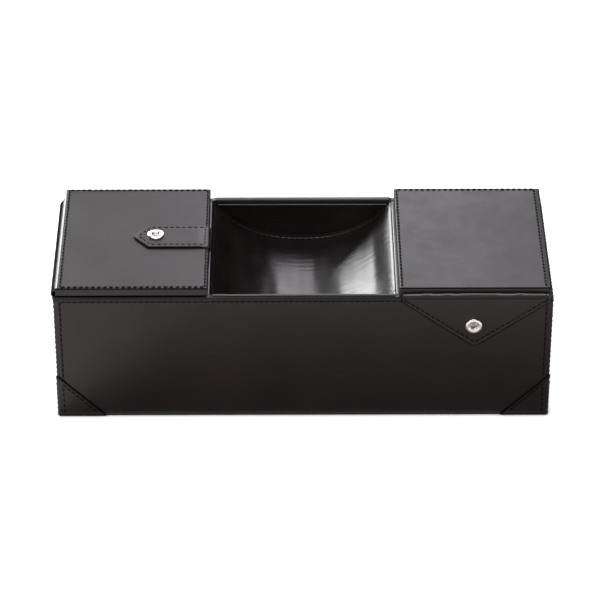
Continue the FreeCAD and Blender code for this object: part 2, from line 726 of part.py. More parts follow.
def carcass_pieces():
    return {
        "base_pad": base_pad(),
        "base_board": base_board(),
        "front_board": front_board(),
        "back_board": back_board(),
        "left_end_board": left_end_board(),
        "right_end_board": right_end_board(),
        "right_end_post_front": right_end_post_front(),
        "right_end_post_back": right_end_post_back(),
        "right_end_sill": right_end_sill(),
        "drawer_shelf": drawer_shelf(),
        "left_divider": mirrored_in_x(right_divider()),
        "right_divider": right_divider(),
        "drawer_rail_front": drawer_rail_front(),
        "drawer_rail_back": drawer_rail_back(),
        "front_leather": front_leather(),
        "back_leather": back_leather(),
        "left_end_leather": left_end_leather(),
        "right_end_leather": right_end_leather(),
        "left_divider_cover": mirrored_in_x(right_divider_cover()),
        "right_divider_cover": right_divider_cover(),
        "tray_scoop": tray_scoop(),
        "tray_lining_back": tray_lining_back(),
        "tray_lining_front": tray_lining_front(),
        "left_compartment_lining": mirrored_in_x(compartment_lining()),
        "right_compartment_lining": compartment_lining(),
        "front_snap_stud": on_flap(snap_stud()),
        "front_snap_rivet": on_flap(snap_rivet(WALL_GRIP)),
    }


def left_lid_pieces():
    return {
        "left_lid_leather": left_lid_leather(),
        "left_lid_board": left_lid_board(),
        "left_lid_lining": mirrored_in_x(lid_lining()),
        "left_lid_hinge": left_lid_hinge(),
        "lid_snap_stud": on_strap(snap_stud()),
        "lid_snap_rivet": on_strap(snap_rivet(LID_BOARD_GRIP)),
        "strap_fixed_end": strap_fixed_end(),
    }


def strap_pieces():
    return {
        "strap_leather": strap_leather(),
        "strap_backing": strap_backing(),
        "strap_snap_cap": on_strap(snap_cap()),
        "strap_snap_socket": on_strap(snap_socket()),
    }


def right_lid_pieces():
    return {
        "right_lid_leather": lid_leather(),
        "right_lid_board": lid_board(),
        "right_lid_lining": lid_lining(),
        "right_lid_hinge": right_lid_hinge(),
    }


def flap_pieces():
    return {
        "flap_leather": flap_leather(),
        "flap_backing": flap_backing(),
        "flap_snap_cap": on_flap(snap_cap()),
        "flap_snap_socket": on_flap(snap_socket()),
    }


def drawer_pieces():
    return {
        "drawer_floor": drawer_floor(),
        "drawer_side_front": drawer_side_front(),
        "drawer_side_back": drawer_side_back(),
        "drawer_rear_board": drawer_rear_board(),
        "drawer_front_board": drawer_front_board(),
        "drawer_front_leather": drawer_front_leather(),
        "drawer_lining": drawer_lining(),
        "drawer_pull_tab": drawer_pull_tab(),
        "drawer_pull_rivet": drawer_pull_rivet(),
    }


def main():
    os.makedirs("parts", exist_ok=True)
    groups = [carcass_pieces(), patches(), left_lid_pieces(), strap_pieces()]
    groups += [right_lid_pieces(), flap_pieces(), drawer_pieces()]
    for group in groups:
        for name, shape in group.items():
            shape.exportStep(f"parts/{name}.step")
            solids = len(shape.Solids)
            print(f"{name:28s} solids {solids}  volume {shape.Volume / 1000:9.3f} cm3")


main()
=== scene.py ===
# %% [markdown]
# # A leather valet box, dressed in Blender
# A valet box is a long box for a dresser top: two lidded compartments, an open
# tray between them, and a drawer that slides out of one end. Its boards are hidden
# under black leather, so almost all that is seen is leather, thread and two snaps.
# The CAD model gives every size. This file dresses it, piece by piece.

# %% Load the frame
import math

import bpy
import numpy as np
from mathutils import Euler, Matrix, Vector


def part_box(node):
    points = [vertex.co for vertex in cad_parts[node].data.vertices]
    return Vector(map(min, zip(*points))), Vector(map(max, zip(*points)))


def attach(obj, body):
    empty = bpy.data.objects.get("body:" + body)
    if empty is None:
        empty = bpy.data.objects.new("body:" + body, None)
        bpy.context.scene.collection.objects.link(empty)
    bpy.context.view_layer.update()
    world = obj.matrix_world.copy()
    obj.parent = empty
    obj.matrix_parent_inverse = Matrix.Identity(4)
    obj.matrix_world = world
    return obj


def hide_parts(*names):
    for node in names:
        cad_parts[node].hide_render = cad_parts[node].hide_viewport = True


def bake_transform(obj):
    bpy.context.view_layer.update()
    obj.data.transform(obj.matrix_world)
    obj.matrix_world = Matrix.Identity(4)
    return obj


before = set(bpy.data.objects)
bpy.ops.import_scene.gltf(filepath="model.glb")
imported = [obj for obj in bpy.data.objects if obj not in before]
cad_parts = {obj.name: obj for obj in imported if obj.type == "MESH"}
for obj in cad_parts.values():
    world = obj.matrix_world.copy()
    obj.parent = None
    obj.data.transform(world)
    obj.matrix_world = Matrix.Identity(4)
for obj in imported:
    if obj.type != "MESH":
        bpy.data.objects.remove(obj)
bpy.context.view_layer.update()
MM = 0.001                      # shapes below are worked out in millimetres


def span(node):
    """Lowest and highest corners of a CAD node, in millimetres."""
    low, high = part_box(node)
    return np.array(low) / MM, np.array(high) / MM


# %% [markdown]
# ## Read the driving sizes
# The walls, lids and flap all follow a few planes. They are measured on the CAD
# nodes here, once, so that a change in the CAD moves every leather with it.

# %% Planes of the box
PANEL_LOW, PANEL_HIGH = span("back_leather")
END_X, FOOT, RIM = PANEL_HIGH[0], PANEL_LOW[2], PANEL_HIGH[2]
BACK_Y = PANEL_HIGH[1]
BOARD_Y = span("back_board")[1][1]          # outer face of the back board
BOARD_TOP = span("back_board")[1][2]
LEATHER = BACK_Y - BOARD_Y                  # thickness of the outer leather
BOARD_X = -span("left_end_leather")[0][0] - LEATHER
LID_LOW, LID_HIGH = span("right_lid_leather")
print(f"leather {LEATHER:.2f} mm, rim {RIM:.1f} mm, lid top {LID_HIGH[2]:.1f} mm")

# %% [markdown]
# ## From numbers to a mesh
# Every new piece starts as arrays of points. One helper turns points and faces into an object. It
# drops points that no face uses, and it works out the signed volume, so that the faces of a closed
# skin always point outwards. The others number the faces of a tube, say which body a piece rides on
# and what it replaces, and bake a piece's placement into its mesh.


# %% Put a mesh together
def make_piece(name, points, quads, finish, caps=(), marks=None, sharp=50):
    """A mesh object from points in mm and rows of four corners. Caps are extra
    many-sided faces, and marks are named values, one for each point."""
    points = np.asarray(points, float).reshape(-1, 3)
    quads = np.asarray(quads)
    used, packed = np.unique(quads, return_inverse=True)
    packed = packed.reshape(quads.shape)
    new_number = {int(old): new for new, old in enumerate(used)} if len(caps) else {}
    caps = [[new_number[int(i)] for i in cap] for cap in caps]
    p = points[used][packed]
    halves = [np.cross(p[:, i] - p[:, 0], p[:, i + 1] - p[:, 0]) for i in (1, 2)]
    if ((halves[0] + halves[1]) * p.mean(1)).sum() < 0:
        packed = packed[:, ::-1]
        caps = [cap[::-1] for cap in caps]
    mesh = bpy.data.meshes.new(name)
    mesh.from_pydata((points[used] * MM).tolist(), [], packed.tolist() + caps)
    mesh.polygons.foreach_set("use_smooth", np.ones(len(mesh.polygons), bool))
    mesh.set_sharp_from_angle(angle=math.radians(sharp))
    for mark, values in (marks or {}).items():
        layer = mesh.attributes.new(mark, "FLOAT", "POINT")
        layer.data.foreach_set("value", np.asarray(values, np.float32).ravel()[used])
    mesh.materials.append(finish)
    piece = bpy.data.objects.new(name, mesh)
    bpy.context.scene.collection.objects.link(piece)
    return piece


def tube(rings, count, first=0):
    """Four-sided faces between rings of count points, numbered ring by ring from first."""
    ring, spot = first + np.arange(rings - 1)[:, None] * count, np.arange(count)
    after, above = (spot + 1) % count, ring + count
    return np.stack([ring + spot, ring + after, above + after, above + spot], -1).reshape(-1, 4)


def tube_ends(rings, count, first=0):
    """The two many-sided faces that close a tube."""
    spot = np.arange(count)
    return [first + spot[::-1], first + (rings - 1) * count + spot]


def wear_to(piece, body, slot, *nodes):
    """Let a piece ride on a body and say what it replaces. slot is not used."""
    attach(piece, body)
    if nodes:
        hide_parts(*nodes)
    return piece


def bend_between(pieces, first, second, start, end, slot="outer_leather"):
    """Bakes each piece's placement into its mesh; the pieces neither bend nor ride on a body.
    first, second and slot are not used, and start and end change nothing."""
    for piece in pieces:
        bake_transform(piece)
        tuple(start)
        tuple(end)


# %% [markdown]
# ## Leather blanks
# A leather worker cuts a flat blank first and folds it later. The code does the
# same. A blank is a grid of spots (a, b), where a runs across and b along. Its
# lines lie close together beside the cut edges, where the leather rounds over and
# the seam pulls it down, and far apart in the quiet middle.

# %% Grid lines that crowd towards the cut edges
EDGE_STEPS = np.array([0, .1, .25, .45, .7, 1, 1.4, 1.9, 2.3, 2.6, 2.9, 3.2, 3.6, 4.4])


def lines(start, end, step, *busy):
    """Grid lines from start to end, crowded beside both ends and each busy place."""
    reach = EDGE_STEPS[-1]
    count = max(int((end - start - 2 * reach) / step), 1) + 1
    parts = [start + EDGE_STEPS, np.linspace(start + reach, end - reach, count)]
    parts += [end - EDGE_STEPS] + [place + s * EDGE_STEPS for place in busy for s in (-1, 1)]
    found = np.unique(np.round(np.concatenate(parts), 3))
    return found[(found >= start) & (found <= end)]


def merged(*parts):
    """Grid lines from several rows, without doubles."""
    return np.unique(np.round(np.concatenate(parts), 2))


def blank(across, low, high, along):
    """Spots of a blank: a from across, b from low(a) to high(a). along holds the
    rows of a blank as long as its own last value; each column stretches them
    between its two crowded ends. Also gives the distance of every spot to the
    left, right, low and high cut edges."""
    low = np.broadcast_to(np.asarray(low, float), across.shape)
    high = np.broadcast_to(np.asarray(high, float), across.shape)
    size = (high - low)[:, None]
    reach = EDGE_STEPS[-1]
    full = along[-1]
    squeeze = np.minimum(1, 0.49 * size / reach)
    middle = along[(along > reach + 1e-6) & (along < full - reach - 1e-6)]
    share = (middle - reach) / (full - 2 * reach)
    near = EDGE_STEPS * squeeze
    inner = reach * squeeze + (size - 2 * reach * squeeze) * share
    b = np.concatenate([near, inner, size - near[:, ::-1]], 1) + low[:, None]
    a = np.broadcast_to(across[:, None], b.shape)
    tilt = [1 / np.hypot(1, np.gradient(edge, across))[:, None] for edge in (low, high)]
    from_low, from_high = (b - low[:, None]) * tilt[0], (high[:, None] - b) * tilt[1]
    return a, b, np.stack([a - across[0], across[-1] - a, from_low, from_high])


print("rows beside a cut edge:", len(EDGE_STEPS))

# %% [markdown]
# ## Folding a blank
# The blank is then folded along a path: up a wall and over its rim, or over a
# lid's edge and down the front. The path is drawn with corners. Its points are
# averaged over a short window, which turns every corner into an even bend, as
# thick leather makes one.


# %% Fold along a path
def walked(points):
    """How far a row of points has come, at each of them."""
    return np.r_[0, np.cumsum(np.linalg.norm(np.diff(points, axis=0), axis=1))]


def fold(corners, bend=1.2, axes=(1, 2), facing=1):
    """A function place(a, b, h) that puts a spot of a blank in space. a is kept on
    the straight axis, b is the way along the path, and h the height above it."""
    corners = np.array(corners, float)
    step, margin = 0.08, 2 * bend + 1
    ends = [corners[0] - corners[1], corners[-1] - corners[-2]]
    ends = [way / np.linalg.norm(way) * margin for way in ends]
    longer = np.vstack([corners[0] + ends[0], corners, corners[-1] + ends[1]])
    run = walked(longer)
    t = np.arange(0, run[-1], step)
    window = np.ones(max(int(bend / step), 1))
    window /= window.size
    path = np.stack([np.interp(t, run, longer[:, k]) for k in (0, 1)])
    for _ in range(2):
        path = np.stack([np.convolve(row, window, "same") for row in path])
    path = path[:, (t >= margin) & (t <= run[-1] - margin)]
    way = np.gradient(path, axis=1)
    length = np.r_[0, np.cumsum(np.hypot(*np.diff(path, axis=1)))]
    up = facing * np.stack([-way[1], way[0]]) / np.hypot(*way)

    def place(a, b, h):
        spot = np.empty(np.broadcast_shapes(np.shape(a), np.shape(b), np.shape(h)) + (3,))
        spot[..., 3 - sum(axes)] = a
        for axis, line, rise in zip(axes, path, up):
            spot[..., axis] = np.interp(b, length, line) + h * np.interp(b, length, rise)
        return spot

    place.length = length[-1]
    return place


# %% [markdown]
# ## A closed leather skin
# The upper side of a leather carries the looks: it rounds over at a cut edge, sinks
# into a groove where it is sewn, and waves a little because no hide is flat. The
# lower side is plain. Cells can be left out for a window; wherever a cell has no
# neighbour, a wall joins the two sides, so the skin is always closed.


# %% Close a skin and shape its upper side
def closed_skin(top, bottom, kept=None):
    """Points and faces of a skin from two grids of points of the same shape."""
    rows, columns = top.shape[:2]
    corner = np.arange(rows - 1)[:, None] * columns + np.arange(columns - 1)
    corner = corner.ravel() if kept is None else corner[kept]
    upper = np.stack([corner, corner + columns, corner + columns + 1, corner + 1], 1)
    start, end = upper.ravel(), np.roll(upper, -1, 1).ravel()
    total = rows * columns
    alone = ~np.isin(end * total + start, start * total + end)
    start, end = start[alone], end[alone]
    wall = np.stack([end, start, start + total, end + total], 1)
    faces = np.concatenate([upper, upper[:, ::-1] + total, wall])
    return np.concatenate([top.reshape(-1, 3), bottom.reshape(-1, 3)]), faces


def waves(a, b, size, seed):
    """A gentle swell about 1 high: six sine waves in chosen random directions."""
    rng = np.random.default_rng(seed)
    turn, phase = rng.uniform(0, math.tau, (2, 6))
    pitch = math.tau / (size * rng.uniform(0.6, 1.7, 6))
    steps = [p * (a * math.cos(t) + b * math.sin(t)) + f for p, t, f in zip(pitch, turn, phase)]
    return np.sin(steps).sum(0) / 3


SEAM = 2.8                      # a row of stitches runs this far inside a cut edge
GROOVE = 0.14                   # the seam pulls the leather down this far


def bell(distance, width):
    """A bump: e to the power of -(distance / width) squared."""
    return np.exp(-(distance / width) ** 2)


def cut_leather(name, spots, place, thick, finish, edge=0.7, seams=(0, 1, 2, 3),
                seam=SEAM, swell=0.07, size=45, seed=1, hollow=None, kept=None,
                slope=0.06, groove=GROOVE, lift=None):
    """A folded leather. Height = thickness - a quarter round at the cut edge - a
    bell-shaped groove along the sewn sides - a slope outside it + waves + lift(a, b)."""
    a, b, sides = spots
    d = sides.min(0)
    edge = min(edge, 0.85 * thick)
    inside = np.minimum(d, edge)
    height = thick - edge + np.sqrt(edge ** 2 - (edge - inside) ** 2)
    wear = np.exp(-d / 0.4)
    if len(seams):
        sewn = sides[list(seams)].min(0)
        height = height - groove * min(1, thick) * bell(sewn - seam, 0.6)
        height = height - slope * np.clip(1 - sewn / seam, 0, 1) ** 1.5
    calm = np.clip(d / 9, 0, 1) ** 2
    height = height + swell * calm * waves(a, b, size, seed)
    if lift:
        height = height + lift(a, b) * np.clip(d / edge, 0, 1)
    if hollow:
        far = np.hypot(a - hollow[0], b - hollow[1])
        height = np.where(far < hollow[2], 0.06, height)
    top, bottom = place(a, b, height), place(a, b, np.zeros_like(height))
    points, faces = closed_skin(top, bottom, kept)
    return make_piece(name, points, faces, finish, marks={"wear": np.tile(wear.ravel(), 2)})


# %% [markdown]
# ## Thread
# A machine seam is a row of short, plump stitches that dive into the leather at
# both ends. Each stitch is a small six-sided sausage: its radius and its height
# both fall towards its ends. All stitches of a seam are one mesh, worked out
# together. The thread is laid on the same blank and folded with it, so a seam
# follows every bend of its leather.

# %% Sew rows of stitches
PITCH, STITCH, THREAD = 4.3, 3.0, 0.48      # from stitch to stitch, length, radius
RINGS, SIDES = 7, 6                         # points of one stitch: rings along it, sides round it


def sew(name, rows, place, level, finish, seed=3, thread=THREAD, pitch=PITCH, stitch=STITCH):
    """Stitches along rows of (a, b) points. Radius = thread x (1 - 0.75 x^4) and
    height falls with x^4, where x runs from -1 to 1 along a stitch."""
    centres, ways = [], []
    for row in rows:
        row = np.array(row, float)
        run = walked(row)
        count = max(round(run[-1] / pitch), 1)
        middle = (np.arange(count) + 0.5) * run[-1] / count
        ends = [np.stack([np.interp(middle + s, run, row[:, k]) for k in (0, 1)], 1)
                for s in (-0.5, 0.5)]
        centres.append((ends[0] + ends[1]) / 2)
        way = ends[1] - ends[0]
        ways.append(way / np.linalg.norm(way, axis=1, keepdims=True))
    centre, way = np.concatenate(centres), np.concatenate(ways)
    rng = np.random.default_rng(seed)
    lean = 0.16 + rng.normal(0, 0.04, len(centre))
    way = np.stack([way[:, 0] - lean * way[:, 1], way[:, 1] + lean * way[:, 0]], 1)
    x = np.linspace(-1, 1, RINGS)[:, None]
    turn = np.arange(SIDES) * math.tau / SIDES
    thick = thread * (1 - 0.75 * x ** 4)
    along = x * stitch / 2 * pitch / PITCH + 0 * turn
    aside = thick * np.cos(turn)
    rise = level + thread * (0.3 - 0.9 * x ** 4) + thick * np.sin(turn)
    rise = rise + rng.normal(0, 0.03, len(centre))[:, None, None]
    a = centre[:, 0, None, None] + way[:, 0, None, None] * along - way[:, 1, None, None] * aside
    b = centre[:, 1, None, None] + way[:, 1, None, None] * along + way[:, 0, None, None] * aside
    first = np.arange(len(centre))[:, None, None] * RINGS * SIDES
    caps = np.concatenate(tube_ends(RINGS, SIDES, first[:, 0]))
    return make_piece(name, place(a, b, rise), tube(RINGS, SIDES, first), finish, caps, sharp=80)


def cord(name, rows, place, level, radius, finish):
    """Round black beads along rows of (a, b) points, at a level above the blank: a circle carried
    along each row. On the lids, flap and strap they are a painted edge that also paints the shade
    line of that edge; at the foot, in the front's notch and along the corner patches they are
    painted shade, the dark line of a gap."""
    points, quads, caps, first = [], [], [], 0
    sides = 8
    turn = np.arange(sides) * math.tau / sides
    for row in rows:
        row = np.array(row, float)
        run = walked(row)
        t = np.linspace(0, run[-1], max(int(run[-1] / 1.5), 2))
        spot = np.stack([np.interp(t, run, row[:, k]) for k in (0, 1)])
        way = np.gradient(spot, axis=1)
        way /= np.hypot(*way)
        aside, rise = radius * np.cos(turn), level + radius * np.sin(turn)
        a = spot[0][:, None] - way[1][:, None] * aside
        b = spot[1][:, None] + way[0][:, None] * aside
        points.append(place(a, b, rise + 0 * a).reshape(-1, 3))
        quads.append(tube(len(t), sides, first))
        caps += tube_ends(len(t), sides, first)
        first += len(t) * sides
    return make_piece(name, np.concatenate(points), np.concatenate(quads), finish, caps=caps)


def sew_on(body, name, *rest, **more):
    """A seam in the outer leather of one body."""
    return wear_to(sew(name + "_stitches", *rest, **more), body, "outer_leather")


def edge_paint_and_shade_on(body, name, *rest):
    """Black beads on the outer leather of one body: painted edges and painted shade lines."""
    return wear_to(cord(name, *rest), body, "outer_leather")


def rectangle(x0, x1, y0, y1):
    """Rows along the left, right, low and high sides of a rectangle."""
    return [[(x0, y0), (x0, y1)], [(x1, y0), (x1, y1)], [(x0, y0), (x1, y0)], [(x0, y1), (x1, y1)]]


def inset(corners, distance):
    """Corners of a line drawn a distance to the left of an open row of corners."""
    corners = np.array(corners, float)
    way = np.diff(corners, axis=0)
    way /= np.linalg.norm(way, axis=1, keepdims=True)
    left = np.stack([-way[:, 1], way[:, 0]], 1) * distance
    found = [corners[0] + left[0]]
    for i in range(1, len(way)):
        half = left[i - 1] + left[i]
        found.append(corners[i] + half * distance ** 2 / (half @ left[i]))
    return np.array(found + [corners[-1] + left[-1]])


print(f"stitches are {STITCH} mm long, one every {PITCH} mm")

# %% [markdown]
# ## Finishes
# Each finish is a small node tree on Object coordinates, so a grain stays put on
# its piece. Values that are the same all over a surface sit on the shader itself.
# Black leather has almost no colour of its own: what is seen is its sheen, so its
# roughness, its pebbled grain and the greyer wear on its edges do the work.


# %% Small helpers for node trees
def plain_finish(name, **constants):
    """A material, its node tree and its shader, with these sockets set."""
    finish = bpy.data.materials.new(name)
    finish.use_nodes = True
    shader = finish.node_tree.nodes["Principled BSDF"]
    for socket, value in constants.items():
        shader.inputs[socket.replace("_", " ")].default_value = value
    return finish, finish.node_tree, shader


def new_finish(name, **constants):
    """The same, and Object coordinates for its patterns."""
    finish, tree, shader = plain_finish(name, **constants)
    return finish, tree, shader, tree.nodes.new("ShaderNodeTexCoord").outputs["Object"]


def stretched(tree, spots, scale):
    """Coordinates scaled by a different amount along each axis."""
    mapping = tree.nodes.new("ShaderNodeMapping")
    tree.links.new(spots, mapping.inputs["Vector"])
    mapping.inputs["Scale"].default_value = scale
    return mapping.outputs["Vector"]


def noise(tree, spots, millimetres, detail=3.0, rough=0.55, twist=0.0):
    """Noise with features about so many millimetres wide."""
    node = tree.nodes.new("ShaderNodeTexNoise")
    tree.links.new(spots, node.inputs["Vector"])
    node.inputs["Scale"].default_value = 1000 / millimetres
    node.inputs["Detail"].default_value = detail
    node.inputs["Roughness"].default_value = rough
    node.inputs["Distortion"].default_value = twist
    return node.outputs["Fac"]


def pebbles(tree, spots, millimetres):
    """Rounded cells about so many millimetres wide, as in leather grain."""
    node = tree.nodes.new("ShaderNodeTexVoronoi")
    node.feature = "SMOOTH_F1"
    tree.links.new(spots, node.inputs["Vector"])
    node.inputs["Scale"].default_value = 1000 / millimetres
    return node.outputs["Distance"]


def ramp(tree, value, low, high, start=0.3, end=0.7):
    """Maps a value from start..end to low..high: numbers or colours."""
    node = tree.nodes.new("ShaderNodeValToRGB")
    tree.links.new(value, node.inputs["Fac"])
    for stop, place, colour in zip(node.color_ramp.elements, (start, end), (low, high)):
        stop.position = place
        stop.color = (*colour, 1) if hasattr(colour, "__len__") else (colour,) * 3 + (1,)
    return node.outputs["Color"]


def paint_with(tree, shader, socket, value):
    """Plugs a value or a colour into one of the shader's sockets."""
    tree.links.new(value, shader.inputs[socket])


def blend_colours(tree, share, first, second):
    """first where share is 0, second where it is 1. second may be a fixed colour."""
    node = tree.nodes.new("ShaderNodeMix")
    node.data_type = "RGBA"
    tree.links.new(share, node.inputs["Factor"])
    for colour, socket in ((first, node.inputs[6]), (second, node.inputs[7])):
        if hasattr(colour, "links"):
            tree.links.new(colour, socket)
        else:
            socket.default_value = (*colour, 1)
    return node.outputs[2]


def sums(tree, operation, first, second):
    """Arithmetic on two values; second may be a plain number."""
    node = tree.nodes.new("ShaderNodeMath")
    node.operation = operation
    node.use_clamp = operation == "MULTIPLY"
    tree.links.new(first, node.inputs[0])
    if hasattr(second, "links"):
        tree.links.new(second, node.inputs[1])
    else:
        node.inputs[1].default_value = second
    return node.outputs[0]


def relief(tree, shader, *layers):
    """Bump layers of (height, millimetres deep, strength), one on top of another."""
    below = None
    for height, millimetres, strength in layers:
        node = tree.nodes.new("ShaderNodeBump")
        tree.links.new(height, node.inputs["Height"])
        node.inputs["Distance"].default_value = millimetres * MM
        node.inputs["Strength"].default_value = strength
        if below:
            tree.links.new(below, node.inputs["Normal"])
        below = node.outputs["Normal"]
    tree.links.new(below, shader.inputs["Normal"])


def tinted(colour, share):
    """A darker or lighter tone of a colour."""
    return tuple(share * c for c in colour)


def mark(tree, name):
    """A value that was stored on the points of a mesh; 0 where it wasn't."""
    node = tree.nodes.new("ShaderNodeAttribute")
    node.attribute_name = name
    return node.outputs["Fac"]


# %% [markdown]
# ### Leathers
# One recipe makes all the smooth hides. Slow noise varies the dye, pebbles and
# creases make the grain, and the wear mark that each cut edge carries lets the
# dye rub through to a greyer tone.


# %% Leather recipe
def leather_finish(name, dye, worn, shine, grain=0.8, grain_depth=0.05, **constants):
    """A dyed leather. shine = (lowest, highest) roughness."""
    finish, tree, shader, spots = new_finish(name, **constants)
    cloud = noise(tree, spots, 38, 2)
    fine = noise(tree, spots, 1.6, 4, 0.6)
    tone = ramp(tree, cloud, tinted(dye, 0.8), tinted(dye, 1.25))
    rub = sums(tree, "MULTIPLY", mark(tree, "wear"), ramp(tree, fine, 0.15, 1.0, 0.35, 0.65))
    paint_with(tree, shader, "Base Color", blend_colours(tree, rub, tone, worn))
    blotches = noise(tree, spots, 9, 3, 0.6)
    patchy = sums(tree, "MULTIPLY", cloud, 0.4)
    for layer, share in ((fine, 0.2), (blotches, 0.4)):
        patchy = sums(tree, "ADD", patchy, sums(tree, "MULTIPLY", layer, share))
    paint_with(tree, shader, "Roughness", ramp(tree, patchy, *shine))
    cells = pebbles(tree, spots, grain)
    creases = noise(tree, spots, 5.5, 3, 0.6, 0.8)
    strokes = noise(tree, stretched(tree, spots, (0.3, 1, 1)), 10, 3, 0.55, 0.4)
    relief(tree, shader, (strokes, 0.22, 0.3), (creases, 0.10, 0.35), (cells, grain_depth, 0.5))
    return finish


BLACK = (0.0118, 0.0066, 0.0061)
outer = leather_finish("outer_leather", BLACK, (0.018, 0.0155, 0.0145), (0.33, 0.49),
                       Specular_IOR_Level=0.38)
backing = leather_finish("backing_leather", (0.012, 0.0105, 0.0098), (0.04, 0.034, 0.03),
                         (0.55, 0.68), 1.1, 0.08, Specular_IOR_Level=0.3)


# %% [markdown]
# The tray's leather is glazed: smooth enough to throw back the windows of a room.
# Faint brush lines run along the box, down one slope and up the other, and they
# break the reflections into soft streaks.


# %% Glazed leather of the tray
def glazed_finish():
    """Glazed leather: low roughness, and ripples drawn out from divider to divider."""
    finish, tree, shader, spots = new_finish("scoop_leather", Specular_IOR_Level=0.40)
    cloud = noise(tree, spots, 30, 2)
    tone = ramp(tree, cloud, (0.010, 0.008, 0.0075), (0.016, 0.0125, 0.0115))
    paint_with(tree, shader, "Base Color", tone)
    paint_with(tree, shader, "Roughness", ramp(tree, cloud, 0.20, 0.27))
    ripples = noise(tree, stretched(tree, spots, (0.10, 1, 0.10)), 3.2, 3, 0.6, 0.3)
    cells = pebbles(tree, spots, 0.7)
    relief(tree, shader, (ripples, 0.48, 0.42), (cells, 0.02, 0.3))
    return finish


glazed = glazed_finish()
print("leathers:", [m.name for m in (outer, backing, glazed)])

# %% [markdown]
# ### Suede, felt and thread
# Suede and felt scatter light from thousands of fibres. A high roughness with a
# little sheen does that, with a nap of fine noise for the brushed look.


# %% Napped and spun finishes
def napped_finish(name, colour, depth, **constants):
    """Suede or felt: soft mottling, a nap of short fibres and a faint sheen."""
    finish, tree, shader, spots = new_finish(
        name, Roughness=0.95, Specular_IOR_Level=0.15, **constants)
    brushed = noise(tree, stretched(tree, spots, (1, 0.5, 1)), 14, 3, 0.6, 0.5)
    fibres = noise(tree, spots, 0.45, 4, 0.7)
    tone = ramp(tree, brushed, tinted(colour, 0.7), tinted(colour, 1.35))
    tips = blend_colours(tree, ramp(tree, fibres, 0.0, 0.5), tone, tinted(colour, 1.8))
    paint_with(tree, shader, "Base Color", tips)
    relief(tree, shader, (brushed, 0.2, 0.3), (fibres, depth, 0.7))
    return finish


suede = napped_finish("suede_lining", (0.030, 0.027, 0.026), 0.12,
                      Sheen_Weight=0.35, Sheen_Roughness=0.4)
felt = napped_finish("base_felt", (0.012, 0.012, 0.013), 0.25,
                     Sheen_Weight=0.2, Sheen_Roughness=0.5)


def thread_finish(name, dark, light, dull, shine):
    """Twisted thread. dull is its roughness, shine its specular level."""
    finish, tree, shader, spots = new_finish(name, Specular_IOR_Level=shine, Roughness=dull)
    strands = noise(tree, spots, 0.35, 2)
    paint_with(tree, shader, "Base Color", ramp(tree, strands, dark, light))
    relief(tree, shader, (strands, 0.08, 0.6))
    return finish


thread = thread_finish("black_thread", (0.002, 0.002, 0.002), (0.008, 0.007, 0.007), 0.6, 0.08)
# Black edge finish; the same black beads also draw painted shade lines at gaps and edges.
paint_and_shade = thread_finish("edge_paint", (0.002, 0.002, 0.002), (0.006, 0.005, 0.005), 0.55, 0.05)
waxed = thread_finish("waxed_thread", (0.010, 0.009, 0.009), (0.028, 0.025, 0.023), 0.45, 0.18)
print("soft finishes:", [m.name for m in (suede, felt, thread, paint_and_shade, waxed)])

# %% [markdown]
# ### Metal and board
# The snaps are nickel plate. Real plate is never an even mirror: it has hairline rubs and a
# slightly warm cast. The dark that a cap's sunken centre mirrors is painted into its colour as
# speckled brown. Boards are dark fibreboard, and the drawer is made of black-stained wood with its
# grain along the drawer.


# %% Nickel, fibreboard and stained wood
def nickel_finish():
    """Plated metal: hairline rubs, and a painted dark reflection, speckled brown, where the mark
    stored on a cap says so.
    """
    finish, tree, shader, spots = new_finish("nickel", Metallic=1.0)
    rubs = noise(tree, spots, 1.2, 5, 0.65, 0.4)
    plate = ramp(tree, rubs, (0.78, 0.74, 0.68), (0.90, 0.87, 0.81))
    specks = ramp(tree, noise(tree, spots, 0.9, 3), 1.0, 0.45, 0.35, 0.6)
    # Painted reflection: inside the mark, speckled dark brown stands in for the dark that the
    # sunken centre mirrors.
    dull = sums(tree, "MULTIPLY", mark(tree, "painted_dark_reflection"), specks)
    paint_with(tree, shader, "Base Color", blend_colours(tree, dull, plate, (0.10, 0.08, 0.055)))
    paint_with(tree, shader, "Roughness", ramp(tree, rubs, 0.18, 0.32))
    relief(tree, shader, (rubs, 0.015, 0.3))
    return finish


def board_finish():
    """Dark fibreboard with small flecks."""
    finish, tree, shader, spots = new_finish("board", Specular_IOR_Level=0.2, Roughness=0.85)
    flecks = noise(tree, spots, 0.9, 5, 0.7)
    tone = ramp(tree, flecks, (0.020, 0.016, 0.013), (0.055, 0.043, 0.034))
    paint_with(tree, shader, "Base Color", tone)
    relief(tree, shader, (flecks, 0.08, 0.5))
    return finish


def stained_finish():
    """Stained wood: noise drawn out along the drawer makes grain and pores."""
    finish, tree, shader, spots = new_finish("drawer_wood", Specular_IOR_Level=0.35)
    grain = noise(tree, stretched(tree, spots, (0.04, 1, 1)), 1.3, 5, 0.65, 0.3)
    pores = noise(tree, stretched(tree, spots, (0.08, 1, 1)), 0.4, 3, 0.7)
    tone = ramp(tree, grain, (0.007, 0.006, 0.005), (0.024, 0.018, 0.014))
    paint_with(tree, shader, "Base Color", tone)
    paint_with(tree, shader, "Roughness", ramp(tree, grain, 0.42, 0.6))
    relief(tree, shader, (grain, 0.08, 0.4), (pores, 0.06, 0.5))
    return finish


nickel, board, stained = nickel_finish(), board_finish(), stained_finish()
print("hard finishes:", [m.name for m in (nickel, board, stained)])

# %% [markdown]
# ## Dress the CAD nodes that stay
# Boards, drawer sides, studs, sockets and rivets have the right shape already.
# They keep their CAD mesh and get a finish by the name of their material slot.

# %% Give the kept nodes their finishes
FINISHES = {
    "outer_leather": outer, "scoop_leather": glazed, "backing_leather": backing,
    "suede_lining": suede, "board": board, "drawer_wood": stained,
    "nickel": nickel, "base_felt": felt,
}
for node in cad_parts.values():
    slot_name = node.data.materials[0].name.split(".")[0]
    node.data.materials[0] = FINISHES[slot_name]
print("CAD nodes dressed:", len(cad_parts))
